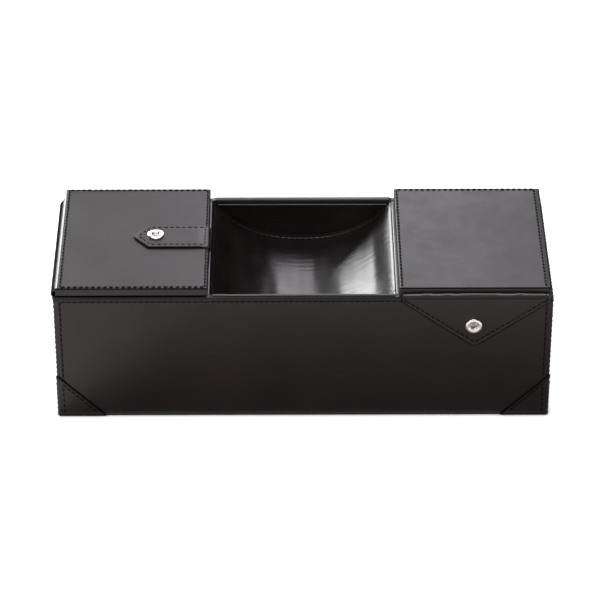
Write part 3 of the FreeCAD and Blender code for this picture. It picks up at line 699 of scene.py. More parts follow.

# %% [markdown]
# ## The four walls
# Each wall is one leather, glued up the outside of its board and folded over the rim. The front and
# back run the full length; the ends fit between them. Stitches run up both sides from the corner
# patches and along the top. The cut edge at the foot carries a black bead of painted shade, the
# dark line where the wall meets the table, and a second bead paints the shade in the front's notch
# beside the tray.

# %% Front and back walls
PATCH_TOP = span("corner_patch_front_left")[1][2]
FOLD_Y = PANEL_LOW[1]                       # inner edge of the fold over the rim
TOP_ROW = 3.0                               # the top seam runs this far below the rim
WALL_SEAM = 4.6                             # the side seams of the front and back run this far in
WALL_GROOVE, WALL_STITCH = 0.28, 4.0        # the walls are sewn tighter, with longer stitches
WALL_BEND = 0.6                             # how soft the leather turns over the rim
BOARD_RUN = BOARD_TOP - FOOT                # way up the outside of a board
NOTCH = 0.8                                 # a painted notch runs this far behind the edge
TRAY_HALF = 65.5                            # half the length of the open tray


def wall_rows(width, seam=SEAM):
    """Stitch rows of a wall: up both sides from the corner patch, and along the top."""
    start, top = PATCH_TOP - FOOT + 0.5, RIM - FOOT - TOP_ROW
    side = width / 2 - seam
    rows = [[(s * side, start), (s * side, top)] for s in (-1, 1)]
    return rows + [[(-side, top), (side, top)]]


def tray_rim(side):
    """Beside the open tray the leather of the front stands up in a roll behind a
    notch, and that of the back in a flat welt. Elsewhere a crease runs below the
    edge, where the leather was pressed over the board."""
    def lift(a, b):
        open_part = np.clip((TRAY_HALF + 1 - np.abs(a)) / 2.5, 0, 1)
        uneven = 1 + 0.12 * np.sin(a / 9.0) * np.sin(a / 23.0 + 1)
        roll = 1.15 * uneven * bell(b - BOARD_RUN - 2.0, 1.5)
        step = np.clip((b - BOARD_RUN + 1.8) / 1.2, 0, 1)
        welt = 0.8 * step ** 2 * (3 - 2 * step)
        crease = 0.32 * (1 - open_part) * bell(b - BOARD_RUN + 0.7, 0.45)
        notch = 0.4 * open_part * bell(b - BOARD_RUN - NOTCH, 0.5)
        return open_part * welt if side > 0 else open_part * roll - notch - crease
    return lift


def long_wall(name, node, side, seed):
    """The front (side -1) or the back (side 1)."""
    path = [(side * BOARD_Y, FOOT), (side * BOARD_Y, BOARD_TOP), (side * FOLD_Y, BOARD_TOP)]
    place = fold(path, WALL_BEND, (1, 2), -side)
    top_row = RIM - FOOT - TOP_ROW
    rim_rows = np.r_[BOARD_RUN + np.linspace(-2.2, 3, 20), top_row + np.linspace(-1.4, 1.4, 9)]
    along = merged(lines(0, place.length, 3.5), rim_rows)
    sewn_x = END_X - WALL_SEAM
    busy = (-TRAY_HALF, TRAY_HALF, -sewn_x, sewn_x)
    a, b, sides = blank(lines(-END_X, END_X, 3.5, *busy), 0, place.length, along)
    sides = np.concatenate([sides, np.abs(b - top_row)[None] + WALL_SEAM])
    piece = cut_leather(name, (a, b, sides), place, LEATHER, outer, seams=(0, 1, 4), seam=WALL_SEAM,
                        swell=0.09, seed=seed, groove=WALL_GROOVE, lift=tray_rim(side))
    wear_to(piece, "carcass", "outer_leather", node)
    sew_on("carcass", name, wall_rows(2 * END_X, WALL_SEAM), place, LEATHER - WALL_GROOVE + 0.06,
           thread, seed, 0.46, stitch=WALL_STITCH)
    # Painted shade: a black bead along the foot for the dark line where the wall meets the table.
    foot_line = [[(-END_X + 1.5, 0.4), (END_X - 1.5, 0.4)]]
    edge_paint_and_shade_on("carcass", name + "_foot", foot_line, place, LEATHER - 0.42, 0.52, paint_and_shade)
    # Painted shade: beside the tray a black bead lies in the front's notch, for the dark line of
    # the gap beside the roll.
    if side < 0:
        half, row = TRAY_HALF - 0.5, BOARD_RUN + NOTCH
        edge_paint_and_shade_on("carcass", name + "_notch", [[(-half, row), (half, row)]], place, LEATHER + 0.1,
                 0.45, paint_and_shade)
    return piece


front_wall = long_wall("front_wall", "front_leather", -1, 11)
long_wall("back_wall", "back_leather", 1, 12)
print("front wall faces:", len(front_wall.data.polygons))

# %% [markdown]
# ## The two ends
# The right end has a window for the drawer. On the grid that is a block of cells
# left out; the grid is crowded round it, so its edge is turned and sewn as well.

# %% End walls, and the drawer's window
FACE_LOW, FACE_HIGH = span("drawer_front_leather")
PLAY = 0.5                                  # gap between the drawer's front and its window
WINDOW = np.array([[FACE_LOW[1] - PLAY, FACE_HIGH[1] + PLAY],
                   [FACE_LOW[2] - PLAY - FOOT, FACE_HIGH[2] + PLAY - FOOT]])


def end_wall(name, node, side, seed, window=None):
    """The left (side -1) or right (side 1) end, over the rim to the lining. A window
    is two rows: its lowest and highest a, and its lowest and highest b."""
    inner = span(node)[0][0] if side > 0 else -span(node)[1][0]
    path = [(side * BOARD_X, FOOT), (side * BOARD_X, BOARD_TOP), (side * inner, BOARD_TOP)]
    place = fold(path, WALL_BEND, (0, 2), -side)
    busy = [[], []] if window is None else window
    rim_rows = BOARD_RUN + np.linspace(-1.5, 1.5, 9)
    along = merged(lines(0, place.length, 3.5, *busy[1]), rim_rows)
    across = lines(-BOARD_Y, BOARD_Y, 3.5, *busy[0])
    a, b, sides = blank(across, 0, place.length, along)
    kept = None
    rows = wall_rows(2 * BOARD_Y)
    if window is not None:
        outside = np.maximum(np.abs(a) - window[0][1],
                             np.abs(b - window[1].mean()) - np.ptp(window[1]) / 2)
        middle = (outside[:-1, :-1] + outside[1:, 1:]) / 2
        kept = middle > 0
        sides = np.concatenate([sides, np.maximum(outside, 0)[None]])
        w, low, high = window[0][1] + SEAM, window[1][0] - SEAM, window[1][1] + SEAM
        rows += [[(-w, high), (w, high)], [(-w, high), (-w, low)], [(w, high), (w, low)]]
    seams = (0, 1) if window is None else (0, 1, 4)
    piece = cut_leather(name, (a, b, sides), place, LEATHER, outer, seams=seams, seed=seed,
                        kept=kept)
    wear_to(piece, "carcass", "outer_leather", node)
    sew_on("carcass", name, rows, place, LEATHER - GROOVE + 0.12, thread, seed, 0.52)


end_wall("left_end_wall", "left_end_leather", -1, 13)
end_wall("right_end_wall", "right_end_leather", 1, 14, WINDOW)
print("window in the right end:", np.round(WINDOW, 1).tolist())

# %% [markdown]
# ## Divider edges
# The two dividers beside the tray are covered on the tray's side, and the leather
# turns over their top edge. Its rounded turn catches a bright line of light.


# %% Divider covers
def divider_cover(name, side, seed):
    """One divider's cover: up its face beside the tray, and over its top."""
    node = name.replace("edge", "cover")
    low, high = span(node)
    tray, far = sorted(np.abs([low[0], high[0]]))
    face = side * (tray + LEATHER)
    path = [(face, low[2]), (face, BOARD_TOP), (side * far, BOARD_TOP)]
    place = fold(path, WALL_BEND, (0, 2), side)
    along = merged(lines(0, place.length, 5), BOARD_TOP - low[2] + np.linspace(-2, 2, 21))
    spots = blank(lines(low[1], high[1], 6), 0, place.length, along)
    piece = cut_leather(name, spots, place, LEATHER, glazed, seams=(), swell=0.05, seed=seed)
    wear_to(piece, "carcass", "scoop_leather", node)


divider_cover("left_divider_edge", -1, 15)
divider_cover("right_divider_edge", 1, 16)
print(f"the dividers' covers turn over at z = {BOARD_TOP:.1f} mm")

# %% [markdown]
# ## Corner patches
# A triangle of thin leather is folded round the foot of each corner, where a box
# gets knocked. Its long sides slant up to the corner, and both are sewn. Two short
# rows of stitches stand on either side of the corner itself.

# %% Patches round the four corners
PATCH_LOW, PATCH_HIGH = span("corner_patch_back_right")
PATCH_HIGH[2] += 2.4                        # the point stretches up when it is folded
PATCH_THICK = PATCH_HIGH[0] - END_X
PATCH_FRONT = END_X - PATCH_LOW[0] + 1.5    # a patch's reach along the front or back
PATCH_SIDE = BACK_Y - PATCH_LOW[1]          # a patch's reach along an end
PATCH_SEAM = 2.5                            # its slanted sides are sewn this far in


def corner_patch(name, node, x_side, y_side, seed):
    """A blank whose rows run up the corner; each gets shorter towards the point."""
    path = [(x_side * (END_X - PATCH_FRONT), y_side * BACK_Y), (x_side * END_X, y_side * BACK_Y),
            (x_side * END_X, y_side * (BACK_Y - PATCH_SIDE))]
    place = fold(path, 0.9, (0, 1), x_side * y_side)
    total = place.length
    corner = PATCH_FRONT * total / (PATCH_FRONT + PATCH_SIDE)
    up = lines(PATCH_LOW[2], PATCH_HIGH[2] - 0.6, 2.5)
    share = (up - PATCH_LOW[2]) / (PATCH_HIGH[2] - PATCH_LOW[2])
    spots = blank(up, corner * share, total - (total - corner) * share,
                  lines(0, total, 2.5, corner))
    piece = cut_leather(name, spots, place, PATCH_THICK, outer, edge=0.5, seams=(2, 3), seam=2.4,
                        swell=0, seed=seed)
    wear_to(piece, "carcass", "outer_leather", node)
    foot, top = PATCH_LOW[2], PATCH_HIGH[2]
    front = inset([(foot, 0), (top, corner)], PATCH_SEAM)
    side = inset([(top, corner), (foot, total)], PATCH_SEAM)
    front = [front[0] * 0.85 + front[1] * 0.15, front[0] * 0.16 + front[1] * 0.84]
    side = [side[0] * 0.84 + side[1] * 0.16, side[0] * 0.2 + side[1] * 0.8]
    posts = [[(foot + 2, corner + s * 4.2), (top - 9 + s, corner + s * 4.2)] for s in (-1, 1)]
    sew_on("carcass", name, [front, side, *posts], place, PATCH_THICK - 0.1, thread, seed, 0.52,
           stitch=WALL_STITCH)
    # Painted shade: black beads along the patch's slanted sides and its foot draw the dark line of
    # the gap where the patch stands off the wall.
    point = (top - 0.4, corner)
    edges = [[(foot + 0.5, 0.4), point], [point, (foot + 0.5, total - 0.4)],
             [(foot + 0.4, 0.6), (foot + 0.4, total - 0.6)]]
    edge_paint_and_shade_on("carcass", name + "_edge", edges, place, 0.25, 0.7, paint_and_shade)


for number, (y_name, y_side) in enumerate((("front", -1), ("back", 1))):
    for x_name, x_side in (("left", -1), ("right", 1)):
        corner_patch(f"{y_name}_{x_name}_patch", f"corner_patch_{y_name}_{x_name}", x_side, y_side,
                     20 + 3 * number + x_side)
print(f"patches: {PATCH_FRONT:.0f} mm along the front, {PATCH_SIDE:.0f} mm along the ends")

# %% [markdown]
# ## The open tray
# The tray's floor is a sheet of glazed leather that hangs between the dividers like
# a hammock. Its height is a power of the distance from the middle, so it steepens
# towards the dividers. Low ripples run across it from front to back, and it is
# sewn down beside both walls with a waxed thread.

# %% Scoop
SCOOP_LOW, SCOOP_HIGH = span("tray_scoop")
TRAY_END = -span("left_divider_cover")[1][0]
SCOOP_SHEET, SCOOP_POWER = 2.0, 2.5
SAG = (SCOOP_HIGH[2] - SCOOP_LOW[2] - SCOOP_SHEET) / (SCOOP_HIGH[0] / TRAY_END) ** SCOOP_POWER


def scoop_height(x):
    """Height of the tray's floor: its lowest level + sag x (|x| / half length)^2.5."""
    return SCOOP_LOW[2] + SCOOP_SHEET + SAG * (np.abs(x) / TRAY_END) ** SCOOP_POWER


FLOOR_SEAM = 6.0                            # the floor is sewn down this far from the walls
HANG = 2.6                                  # its front hangs this much lower than its back
FULLER = 0.52                               # and its front is this far on the way to a parabola


def floor_height(x, y):
    """The scoop as worn. It hangs lower towards the front, by 1 - the square of the
    way to the back, and this fades out beside the dividers. Away from the back
    wall its curve is fuller: part of the way from |x|^2.5 to a parabola, x^2."""
    rise, turn, side = [np.clip((np.abs(x) - x0) / (x1 - x0), 0, 1)
                        for x0, x1 in ((48, 62), (63.7, SCOOP_HIGH[0]), (51, 63.5))]
    far = np.clip((y - 36) / 24, 0, 1)
    rise, side, far = [t ** 2 * (3 - 2 * t) for t in (rise, side, far)]
    back = np.clip((y + 20) / (SCOOP_HIGH[1] + 20), 0, 1)
    u = np.minimum(np.abs(x) / TRAY_END, 1)
    fuller = FULLER * SAG * (u ** 2 - u ** SCOOP_POWER) * (1 - far)
    hang = HANG * (1 - back ** 2) * (1 - side)
    return scoop_height(x) + fuller + rise * far - 0.5 * turn ** 2 - hang


def tray_floor():
    """The sheet: its upper side follows floor_height, less the two sewn grooves."""
    busy, depth = np.linspace(60, 65.4, 28), SCOOP_HIGH[1] - SCOOP_LOW[1]
    across = merged(lines(SCOOP_LOW[0], SCOOP_HIGH[0], 1.2), busy, -busy)
    along = lines(0, depth, 2, FLOOR_SEAM, depth - FLOOR_SEAM)
    a, b, sides = blank(across, SCOOP_LOW[1], SCOOP_HIGH[1], along)
    calm = np.clip(sides.min(0) / 10, 0, 1) ** 2
    ripple = 0.10 * calm * waves(a, 0.35 * b, 16, 31)
    seam = 0.25 * bell(sides[2:].min(0) - FLOOR_SEAM, 0.6)
    height = floor_height(a, b)
    top = np.stack([a, b, height + ripple - seam], -1)
    bottom = np.stack([a, b, height - SCOOP_SHEET], -1)
    points, faces = closed_skin(top, bottom)
    return make_piece("tray_floor", points, faces, glazed)


def on_floor(x, y, h):
    """Puts a spot of the tray's floor in space."""
    shape = np.broadcast_shapes(np.shape(x), np.shape(y), np.shape(h))
    return np.stack([np.broadcast_to(v, shape) for v in (x, y, floor_height(x, y) + h)], -1)


wear_to(tray_floor(), "carcass", "scoop_leather", "tray_scoop")
x = np.linspace(-57, 57, 60)
floor_rows = [np.stack([x, 0 * x + s * (SCOOP_HIGH[1] - FLOOR_SEAM)], 1) for s in (-1, 1)]
floor_stitches = sew("tray_floor_stitches", floor_rows, on_floor, -0.1, waxed, 35, 0.34, stitch=3.7)
wear_to(floor_stitches, "carcass", "scoop_leather")
print(f"the scoop sags {SAG:.1f} mm")

# %% [markdown]
# ## Half-moons
# The wall above the scoop is lined with a half-moon of the same leather. Its top is
# straight, and its foot follows the scoop.


# %% Half-moon linings
def half_moon(name, node, side, seed):
    """The lining of the tray's front (side -1) or back (side 1) wall."""
    low, high = span(node)
    wall = side * max(abs(low[1]), abs(high[1]))
    thick = high[1] - low[1]
    start = low[2]
    place = fold([(wall, start), (wall, high[2])], 0.3, (1, 2), side)
    across = lines(low[0], high[0], 2)
    foot = np.minimum(scoop_height(across) + 0.15 - start, high[2] - start - 0.25)
    spots = blank(across, foot, high[2] - start, lines(0, high[2] - start, 3))
    piece = cut_leather(name, spots, place, thick, glazed, edge=0.45, seams=(3,), seam=2.0,
                        swell=0.05, seed=seed)
    wear_to(piece, "carcass", "scoop_leather", node)


half_moon("half_moon_back", "tray_lining_back", 1, 33)
half_moon("half_moon_front", "tray_lining_front", -1, 34)
print("a half-moon, in mm:", np.round(np.ptp(span("tray_lining_back"), axis=0), 1).tolist())

# %% [markdown]
# ## Wells, pads and felt
# These follow a rounded rectangle instead of a straight line: a profile of
# (inset, height) pairs is carried round the rectangle, ring by ring. The wells are
# glued-in suede. The lids' pads and the felt below are made the same way further on.


# %% Rings round a rectangle
def carried_round(name, low, high, profile, radius, finish):
    """Carries (inset, z) pairs round the rectangle from low to high. Every ring has
    rounded corners; the first and last rings are closed with one flat face."""
    profile = np.array(profile, float)
    middle, half = (np.array(low) + high)[:2] / 2, (np.array(high) - low)[:2] / 2
    gap, z = profile[:, 0, None], profile[:, 1, None]
    corner = np.maximum(radius - gap, 0.25)
    turn = np.linspace(0, math.pi / 2, 7)
    xs, ys = [], []
    for k, (sx, sy) in enumerate(((1, 1), (-1, 1), (-1, -1), (1, -1))):
        angle = turn + k * math.pi / 2
        xs.append(middle[0] + sx * (half[0] - gap - corner) + corner * np.cos(angle))
        ys.append(middle[1] + sy * (half[1] - gap - corner) + corner * np.sin(angle))
    x, y = np.concatenate(xs, 1), np.concatenate(ys, 1)
    points = np.stack([x, y, z + 0 * x], -1)
    return make_piece(name, points, tube(*x.shape), finish, tube_ends(*x.shape), sharp=40)


def well_profile(low, high, wall, ease=3.0):
    """From the outside foot, up, over the rim, down the inside and across the floor."""
    floor = low[2] + wall
    turn = np.linspace(0, math.pi / 2, 8)
    rim = [(0, low[2]), (0, high[2] - 0.3), (0.1, high[2] - 0.08), (wall / 2, high[2]),
           (wall - 0.1, high[2] - 0.08), (wall, high[2] - 0.35)]
    bend = [(wall + ease * (1 - math.cos(t)), floor + ease * (1 - math.sin(t))) for t in turn]
    half = min(high[0] - low[0], high[1] - low[1]) / 2
    far = np.linspace(wall + ease, half - 1.0, 8)[1:]
    return rim + bend + [(g, floor + 0.5 * (1 - ((half - g) / half) ** 2)) for g in far]


SUEDE = 0.8                                 # thickness of the wells' suede
for name, node, body in (("left_well", "left_compartment_lining", "carcass"),
                         ("right_well", "right_compartment_lining", "carcass"),
                         ("drawer_well", "drawer_lining", "drawer")):
    low, high = span(node)
    piece = carried_round(name, low, high, well_profile(low, high, SUEDE), 0.6, suede)
    wear_to(piece, body, "suede_lining", node)
    print(f"{name} is {high[2] - low[2]:.1f} mm deep")


# %% [markdown]
# Felt covers the whole bottom, so that the box does not scratch a dresser. Its rings are closer
# together at the lower edge, which is softly rounded.

# %% Felt under the box
def foot_felt():
    """A felt pad with a softly rounded lower edge."""
    low, high = span("base_pad")
    ends = [(0.6, low[2]), (0.15, low[2] + 0.2), (0, low[2] + 0.7), (0, high[2])]
    profile = [(60.0, low[2]), (20.0, low[2])] + ends + [(20.0, high[2]), (60.0, high[2])]
    piece = carried_round("foot_felt", low, high, profile, 2.0, felt)
    wear_to(piece, "carcass", "base_felt", "base_pad")
    print(f"the felt is {high[2] - low[2]:.1f} mm thick")


foot_felt()

# %% [markdown]
# ## Lids
# A lid is a board wrapped in one leather, so it is a thick blank with a rounded edge: flat on top,
# and straight down its sides. Under it sits a thin suede pad that drops inside the rim and keeps
# the lid in place. A black bead runs along the lid's right, front and back cut edges: the edge is
# painted black, and the bead also paints the dark shade line along those edges.


# %% Lids, their seams and their pads
LID_SEAM = 1.6                              # the lids are sewn close to their edges
SIDE_SEAM = 3.3                             # but further in along their outer sides
LID_STITCH, LID_THREAD = 3.3, 0.74          # short plump stitches, like a rope


def lid(name, side, body, rows, seed):
    """A lid's cover on side -1 (left) or 1 (right). rows says which of its left,
    right, front and back edges are sewn."""
    node = body + "_leather"
    low, high = span(node)
    place = fold([(low[1], low[2]), (high[1], low[2])], 0.3, (1, 2), 1)
    spots = blank(lines(low[0], high[0], 3), 0, place.length, lines(0, place.length, 3))
    thick = high[2] - low[2]
    sewn = [s for s in range(4) if rows[s]]
    piece = cut_leather(name, spots, place, thick, outer, edge=1.35, seams=sewn, seam=LID_SEAM,
                        swell=0.08, size=60, seed=seed, slope=0.08)
    wear_to(piece, body, "outer_leather", node)
    x0, x1, y0, y1 = low[0] + LID_SEAM, high[0] - LID_SEAM, LID_SEAM, place.length - LID_SEAM
    x0, x1 = (low[0] + SIDE_SEAM, x1 - 0.3) if side < 0 else (x0 + 0.4, high[0] - SIDE_SEAM - 0.6)
    around = rectangle(x0, x1, y0, y1)
    sew_on(body, name, [around[s] for s in sewn], place, thick - GROOVE + 0.05, thread, seed,
           LID_THREAD, stitch=LID_STITCH)
    # Black beads along the right, front and back edges: a painted edge, and painted shade for the
    # dark line beside it.
    e = 0.4                                 # the paint lies this far inside the outline
    _, right, front, back = rectangle(low[0] + e, high[0] - e, e, place.length - e)
    edge_paint_and_shade_on(body, name + "_edge", [front, back, right], place, thick - 0.62, 0.58, paint_and_shade)


def lid_pad(name, node, body):
    """Foam under suede: a quarter oval at the edge, then a crown that falls with the
    square of the way in from the middle."""
    low, high = span(node)
    turn = np.linspace(0, 1, 7) * math.pi / 2
    round_off = [(1.4 * (1 - math.cos(t)), high[2] - 1.3 * math.sin(t)) for t in turn]
    half = (high[0] - low[0]) / 2
    far = np.linspace(1.4, half - 1, 9)[1:]
    crown = [(g, high[2] - 1.3 - 0.4 * (1 - ((half - g) / half) ** 2)) for g in far]
    profile = [(half - 1, high[2]), (10, high[2])] + round_off + crown
    piece = carried_round(name, low, high, profile, 2.0, suede)
    wear_to(piece, body, "suede_lining", node)


lid("left_lid_cover", -1, "left_lid", (1, 1, 1, 1), 41)
lid("right_lid_cover", 1, "right_lid", (1, 1, 0, 1), 42)
lid_pad("left_lid_pad", "left_lid_lining", "left_lid")
lid_pad("right_lid_pad", "right_lid_lining", "right_lid")
print("lid covers are", np.round(LID_HIGH - LID_LOW, 1), "mm")

# %% [markdown]
# ## Hinges
# A strip of leather is the hinge: glued to the box below and to the lid above, and bulging outwards
# between them. It bends between the two bodies when the lid turns; here it is only baked in place
# and rides on neither body. A narrow glazed bead finishes the left lid's edge over the end of its
# strip.


# %% Hinge strips
def hinge_strip(name, node, body, axes, side, reach, face, lid_face, seed):
    """A strip from 6 mm below the hinge line, on the wall's face, to 4.5 mm above it,
    on the lid's side. axes are the strip's outward axis and Z; face and lid_face are
    how far out its two glued faces lie."""
    roll = span(node)
    out = max(abs(roll[0][axes[0]]), abs(roll[1][axes[0]]))
    thick = 0.9
    z = (roll[0][2] + roll[1][2]) / 2
    bulge, top = out - thick + 0.2, lid_face - 0.5
    path = [(face + 0.05, z - 6), (face + 0.05, z - 2.6), (bulge, z - 1.4), (bulge, z + 0.3),
            (top, z + 4.0), (top, z + 4.5)]
    place = fold([(side * x, height) for x, height in path], 0.8, axes, -side)
    spots = blank(lines(*reach, 5), 0, place.length, lines(0, place.length, 0.4))
    piece = cut_leather(name, spots, place, thick, glazed, edge=0.45, seams=(), swell=0.03,
                        seed=seed,
                        lift=lambda a, b: -0.5 * np.clip((b - place.length + 0.9) / 0.9, 0, 1))
    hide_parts(node)
    print(f"{name} is {place.length:.1f} mm wide")
    start, end = [0, 0, (z - 2.4) * MM], [0, 0, (z + 2.2) * MM]
    start[axes[0]], end[axes[0]] = side * face * MM, side * lid_face * MM
    bend_between([piece], "carcass", body, start, end, "scoop_leather")


def lid_bead():
    """A glazed bead along the left lid's outer edge, over the end of the hinge strip."""
    x, z = -LID_HIGH[0], LID_HIGH[2]
    place = fold([(x + 0.05, z - 2.6), (x + 0.2, z - 0.9), (x + 1.9, z - 0.1)], 0.45, (0, 2), 1)
    reach = LID_HIGH[1] - 0.4
    spots = blank(lines(-reach, reach, 4), 0, place.length, lines(0, place.length, 0.3))
    piece = cut_leather("left_lid_bead", spots, place, 0.5, glazed, edge=0.3, seams=(),
                        swell=0.02, seed=53)
    wear_to(piece, "left_lid", "scoop_leather")


lid_bead()
LEFT_ROLL, RIGHT_ROLL = span("left_lid_hinge"), span("right_lid_hinge")
hinge_strip("left_hinge_strip", "left_lid_hinge", "left_lid", (0, 2), -1,
            (LEFT_ROLL[0][1], LEFT_ROLL[1][1] - 8), END_X, LID_HIGH[0], 51)
hinge_strip("right_hinge_strip", "right_lid_hinge", "right_lid", (1, 2), 1,
            (RIGHT_ROLL[0][0], RIGHT_ROLL[1][0]), BACK_Y, LID_HIGH[1], 52)

# %% [markdown]
# ## Flap of the right lid
# The flap is sewn to the lid's front edge, bulges over the rim and hangs down the
# front wall to a point. A straight slant to a sharp point would look like metal, so
# the outline is a hyperbola: straight far from the point, eased at it.

# %% Flap leather and its backing
FLAP_LOW, FLAP_HIGH = span("flap_leather")
FLAP_BACK_LOW, FLAP_BACK_HIGH = span("flap_backing")
FLAP_CAP = sum(span("flap_snap_cap")) / 2
FLAP_SHOULDER = 101.0                       # z where the flap starts to taper
FLAP_POINT = (FLAP_LOW[0] + FLAP_HIGH[0]) / 2
TIP_EASE = 1.7                              # how soft a point is
FLAP_TIP = 62.3                             # z where the flap's two slants would meet
FLAP_SEAM = 2.3                             # its sides are sewn this far in


def pointed(offset, half, rise, ease=TIP_EASE):
    """Height of a pointed outline above its point: a hyperbola of |offset|."""
    full = math.hypot(half, ease) - ease
    return rise * (np.sqrt(offset ** 2 + ease ** 2) - ease) / full


def flap_ridge(a, b):
    """A valley beside the lid, then a ridge that is highest in the middle."""
    part = (a - FLAP_POINT) / (FLAP_HIGH[0] - FLAP_POINT)
    high = 0.95 - 0.55 * part ** 4 + 0.07 * np.sin(a / 6.0) + 0.05 * np.sin(a / 2.7 + 1)
    return high * bell(b - 2.05, 0.85) - 0.6 * bell(b - 0.6, 0.6)


def flap_sheet(name, back, thick, left, right, top_path, finish, edge, seams, gap, seed,
               hollow=None, lift=None):
    """A pointed sheet that hangs from top_path; back is the y of its inner face."""
    tip = FLAP_TIP + 0.77 + gap
    place = fold(top_path + [(back, tip)], 0.7, (1, 2), -1)
    across = merged(lines(left, right, 3), FLAP_POINT + np.linspace(-6, 6, 25))
    rise = pointed(across - FLAP_POINT, FLAP_POINT - left, FLAP_SHOULDER + gap - tip)
    along = merged(lines(0, place.length, 2.5), np.linspace(0, 6, 31))
    spots = blank(across, 0, place.length - rise, along)
    if hollow:
        hollow = (hollow[0], place.length - (hollow[1] - tip), hollow[2])
    piece = cut_leather(name, spots, place, thick, finish, edge=edge, seams=seams, seam=FLAP_SEAM,
                        swell=0.06, seed=seed, hollow=hollow, groove=0.2, lift=lift)
    return piece, place, tip


inner = FLAP_BACK_LOW[1]                    # y of the hanging flap's inner face
flap_path = [(-LID_HIGH[1] - 0.02, 105.4), (-67.3, 105.6), (inner, 105.4), (inner, 103.8)]
flap, flap_place, flap_tip = flap_sheet(
    "flap", inner, inner - FLAP_LOW[1], FLAP_LOW[0], FLAP_HIGH[0],
    flap_path, outer, 1.0, (0, 1, 3), 0.0, 61, lift=flap_ridge)
flap_lining, _, _ = flap_sheet(
    "flap_back", FLAP_BACK_HIGH[1], FLAP_BACK_HIGH[1] - inner - 0.03,
    FLAP_BACK_LOW[0], FLAP_BACK_HIGH[0], [(FLAP_BACK_HIGH[1], FLAP_BACK_HIGH[2])],
    backing, 0.3, (), 0.5, 62, (FLAP_CAP[0], FLAP_CAP[2], 5.2))
print("flap hangs", round(flap_place.length, 1), "mm along its path")


# %% [markdown]
# The flap's stitches and the black line along its slanted edges, a painted edge that also paints
# their shade, are laid on the flap's own blank and folded with it. All three are baked in place
# beside the lid; they do not bend with the flap and ride on neither body. The backing and the snap
# ride on the part that hangs.

# %% Sew the flap and bake it in place
FLAP_BEND = (0, -0.0664, 0.1068), (0, -0.0686, 0.1046)      # its start and end, in metres


def flap_seam():
    """Stitches down both sides and along both slants to the point."""
    left, right = FLAP_LOW[0], FLAP_HIGH[0]
    low = flap_place.length - (FLAP_SHOULDER - flap_tip)
    point = (FLAP_POINT, flap_place.length - 0.5)
    row = inset([(right, 5), (right, low), point, (left, low), (left, 5)], FLAP_SEAM)
    return sew("flap_stitches", [*zip(row, row[1:])], flap_place, LEATHER - 0.16, thread, 63, 0.46,
               stitch=3.4)


def flap_paint_and_shade():
    """A black line down the two slanted edges: a painted edge that also paints the shade of those
    edges.
    """
    x = np.linspace(FLAP_LOW[0], FLAP_HIGH[0], 61)
    rise = pointed(x - FLAP_POINT, FLAP_POINT - FLAP_LOW[0], FLAP_SHOULDER - flap_tip)
    line = np.stack([x, flap_place.length - rise - 0.1], 1)
    line[[0, -1], 0] += 0.1, -0.1
    ends = [[(line[k][0], 4.0), tuple(line[k])] for k in (0, -1)]
    return cord("flap_edge", [line, *ends], flap_place, 0.45, 0.5, paint_and_shade)


bend_between((flap, flap_seam(), flap_paint_and_shade()), "right_lid", "flap", *FLAP_BEND)
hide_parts("flap_leather")
wear_to(flap_lining, "flap", "backing_leather", "flap_backing")
print("the flap bends over", round(math.dist(*FLAP_BEND) / MM, 1), "mm")

# %% [markdown]
# ## Strap of the left lid
# The strap starts under the lid's right edge, wraps up over it, and lies on the
# lid up to its point. Between its sewn end and the free part it bends.

# %% Strap leather and its backing
STRAP_LOW, STRAP_HIGH = span("strap_leather")
STRAP_BACK_LOW, STRAP_BACK_HIGH = span("strap_backing")
STRAP_HIGH[1] -= 1.2                        # worn narrower at the back than it was cut
STRAP_BACK_HIGH[1] -= 1.2
END_LOW, END_HIGH = span("strap_fixed_end")
STRAP_CAP = sum(span("strap_snap_cap")) / 2
STRAP_Y = (STRAP_LOW[1] + STRAP_HIGH[1]) / 2
STRAP_TAPER = 10.9                          # length of the tapered end
STRAP_SEAM = 2.5                            # its sides are sewn this far in


def strap_sheet(name, thick, low, high, path, finish, edge, seams, seed, hollow=None):
    """A strap that starts at its point and runs along the path."""
    place = fold(path, 0.9, (0, 2), 1)
    half = (high[1] - low[1]) / 2
    across = merged(lines(low[1], high[1], 2.2), STRAP_Y + np.linspace(-3, 3, 13))
    start = pointed(across - STRAP_Y, half, STRAP_TAPER)
    spots = blank(across, start, place.length, lines(0, place.length, 1.5))
    if hollow:
        hollow = (hollow[0], hollow[1] - path[0][0], hollow[2])
    piece = cut_leather(name, spots, place, thick, finish, edge=edge, seams=seams, seam=STRAP_SEAM,
                        swell=0.05, size=25, seed=seed, hollow=hollow)
    return piece, place


STRAP_THICK = 1.25                          # skived thinner than the walls' leather
under = STRAP_LOW[2]
lid_edge = -LID_LOW[0]
strap_path = [(STRAP_LOW[0], under), (-74.9, under), (-72.6, under - 0.4),
              (lid_edge - 0.3, under - 0.4), (lid_edge - 0.1, under - 0.7),
              (lid_edge - 0.05, END_LOW[2])]
strap, strap_place = strap_sheet(
    "strap", STRAP_THICK, STRAP_LOW, STRAP_HIGH, strap_path, outer, 0.6, (0, 1, 2), 71)
strap_lining, _ = strap_sheet(
    "strap_back", STRAP_BACK_HIGH[2] - STRAP_BACK_LOW[2] - 0.03, STRAP_BACK_LOW, STRAP_BACK_HIGH,
    [(STRAP_BACK_LOW[0], STRAP_BACK_LOW[2]), (STRAP_BACK_HIGH[0], STRAP_BACK_LOW[2])],
    backing, 0.3, (), 72, (STRAP_CAP[1], STRAP_CAP[0], 5.2))
print("the strap is", round(strap_place.length, 1), "mm long")


# %% [markdown]
# The strap is sewn in the same way, with the same black line along its edges: a painted edge that
# also paints their shade. It has one row of stitches more, across the end that is fixed to the lid.

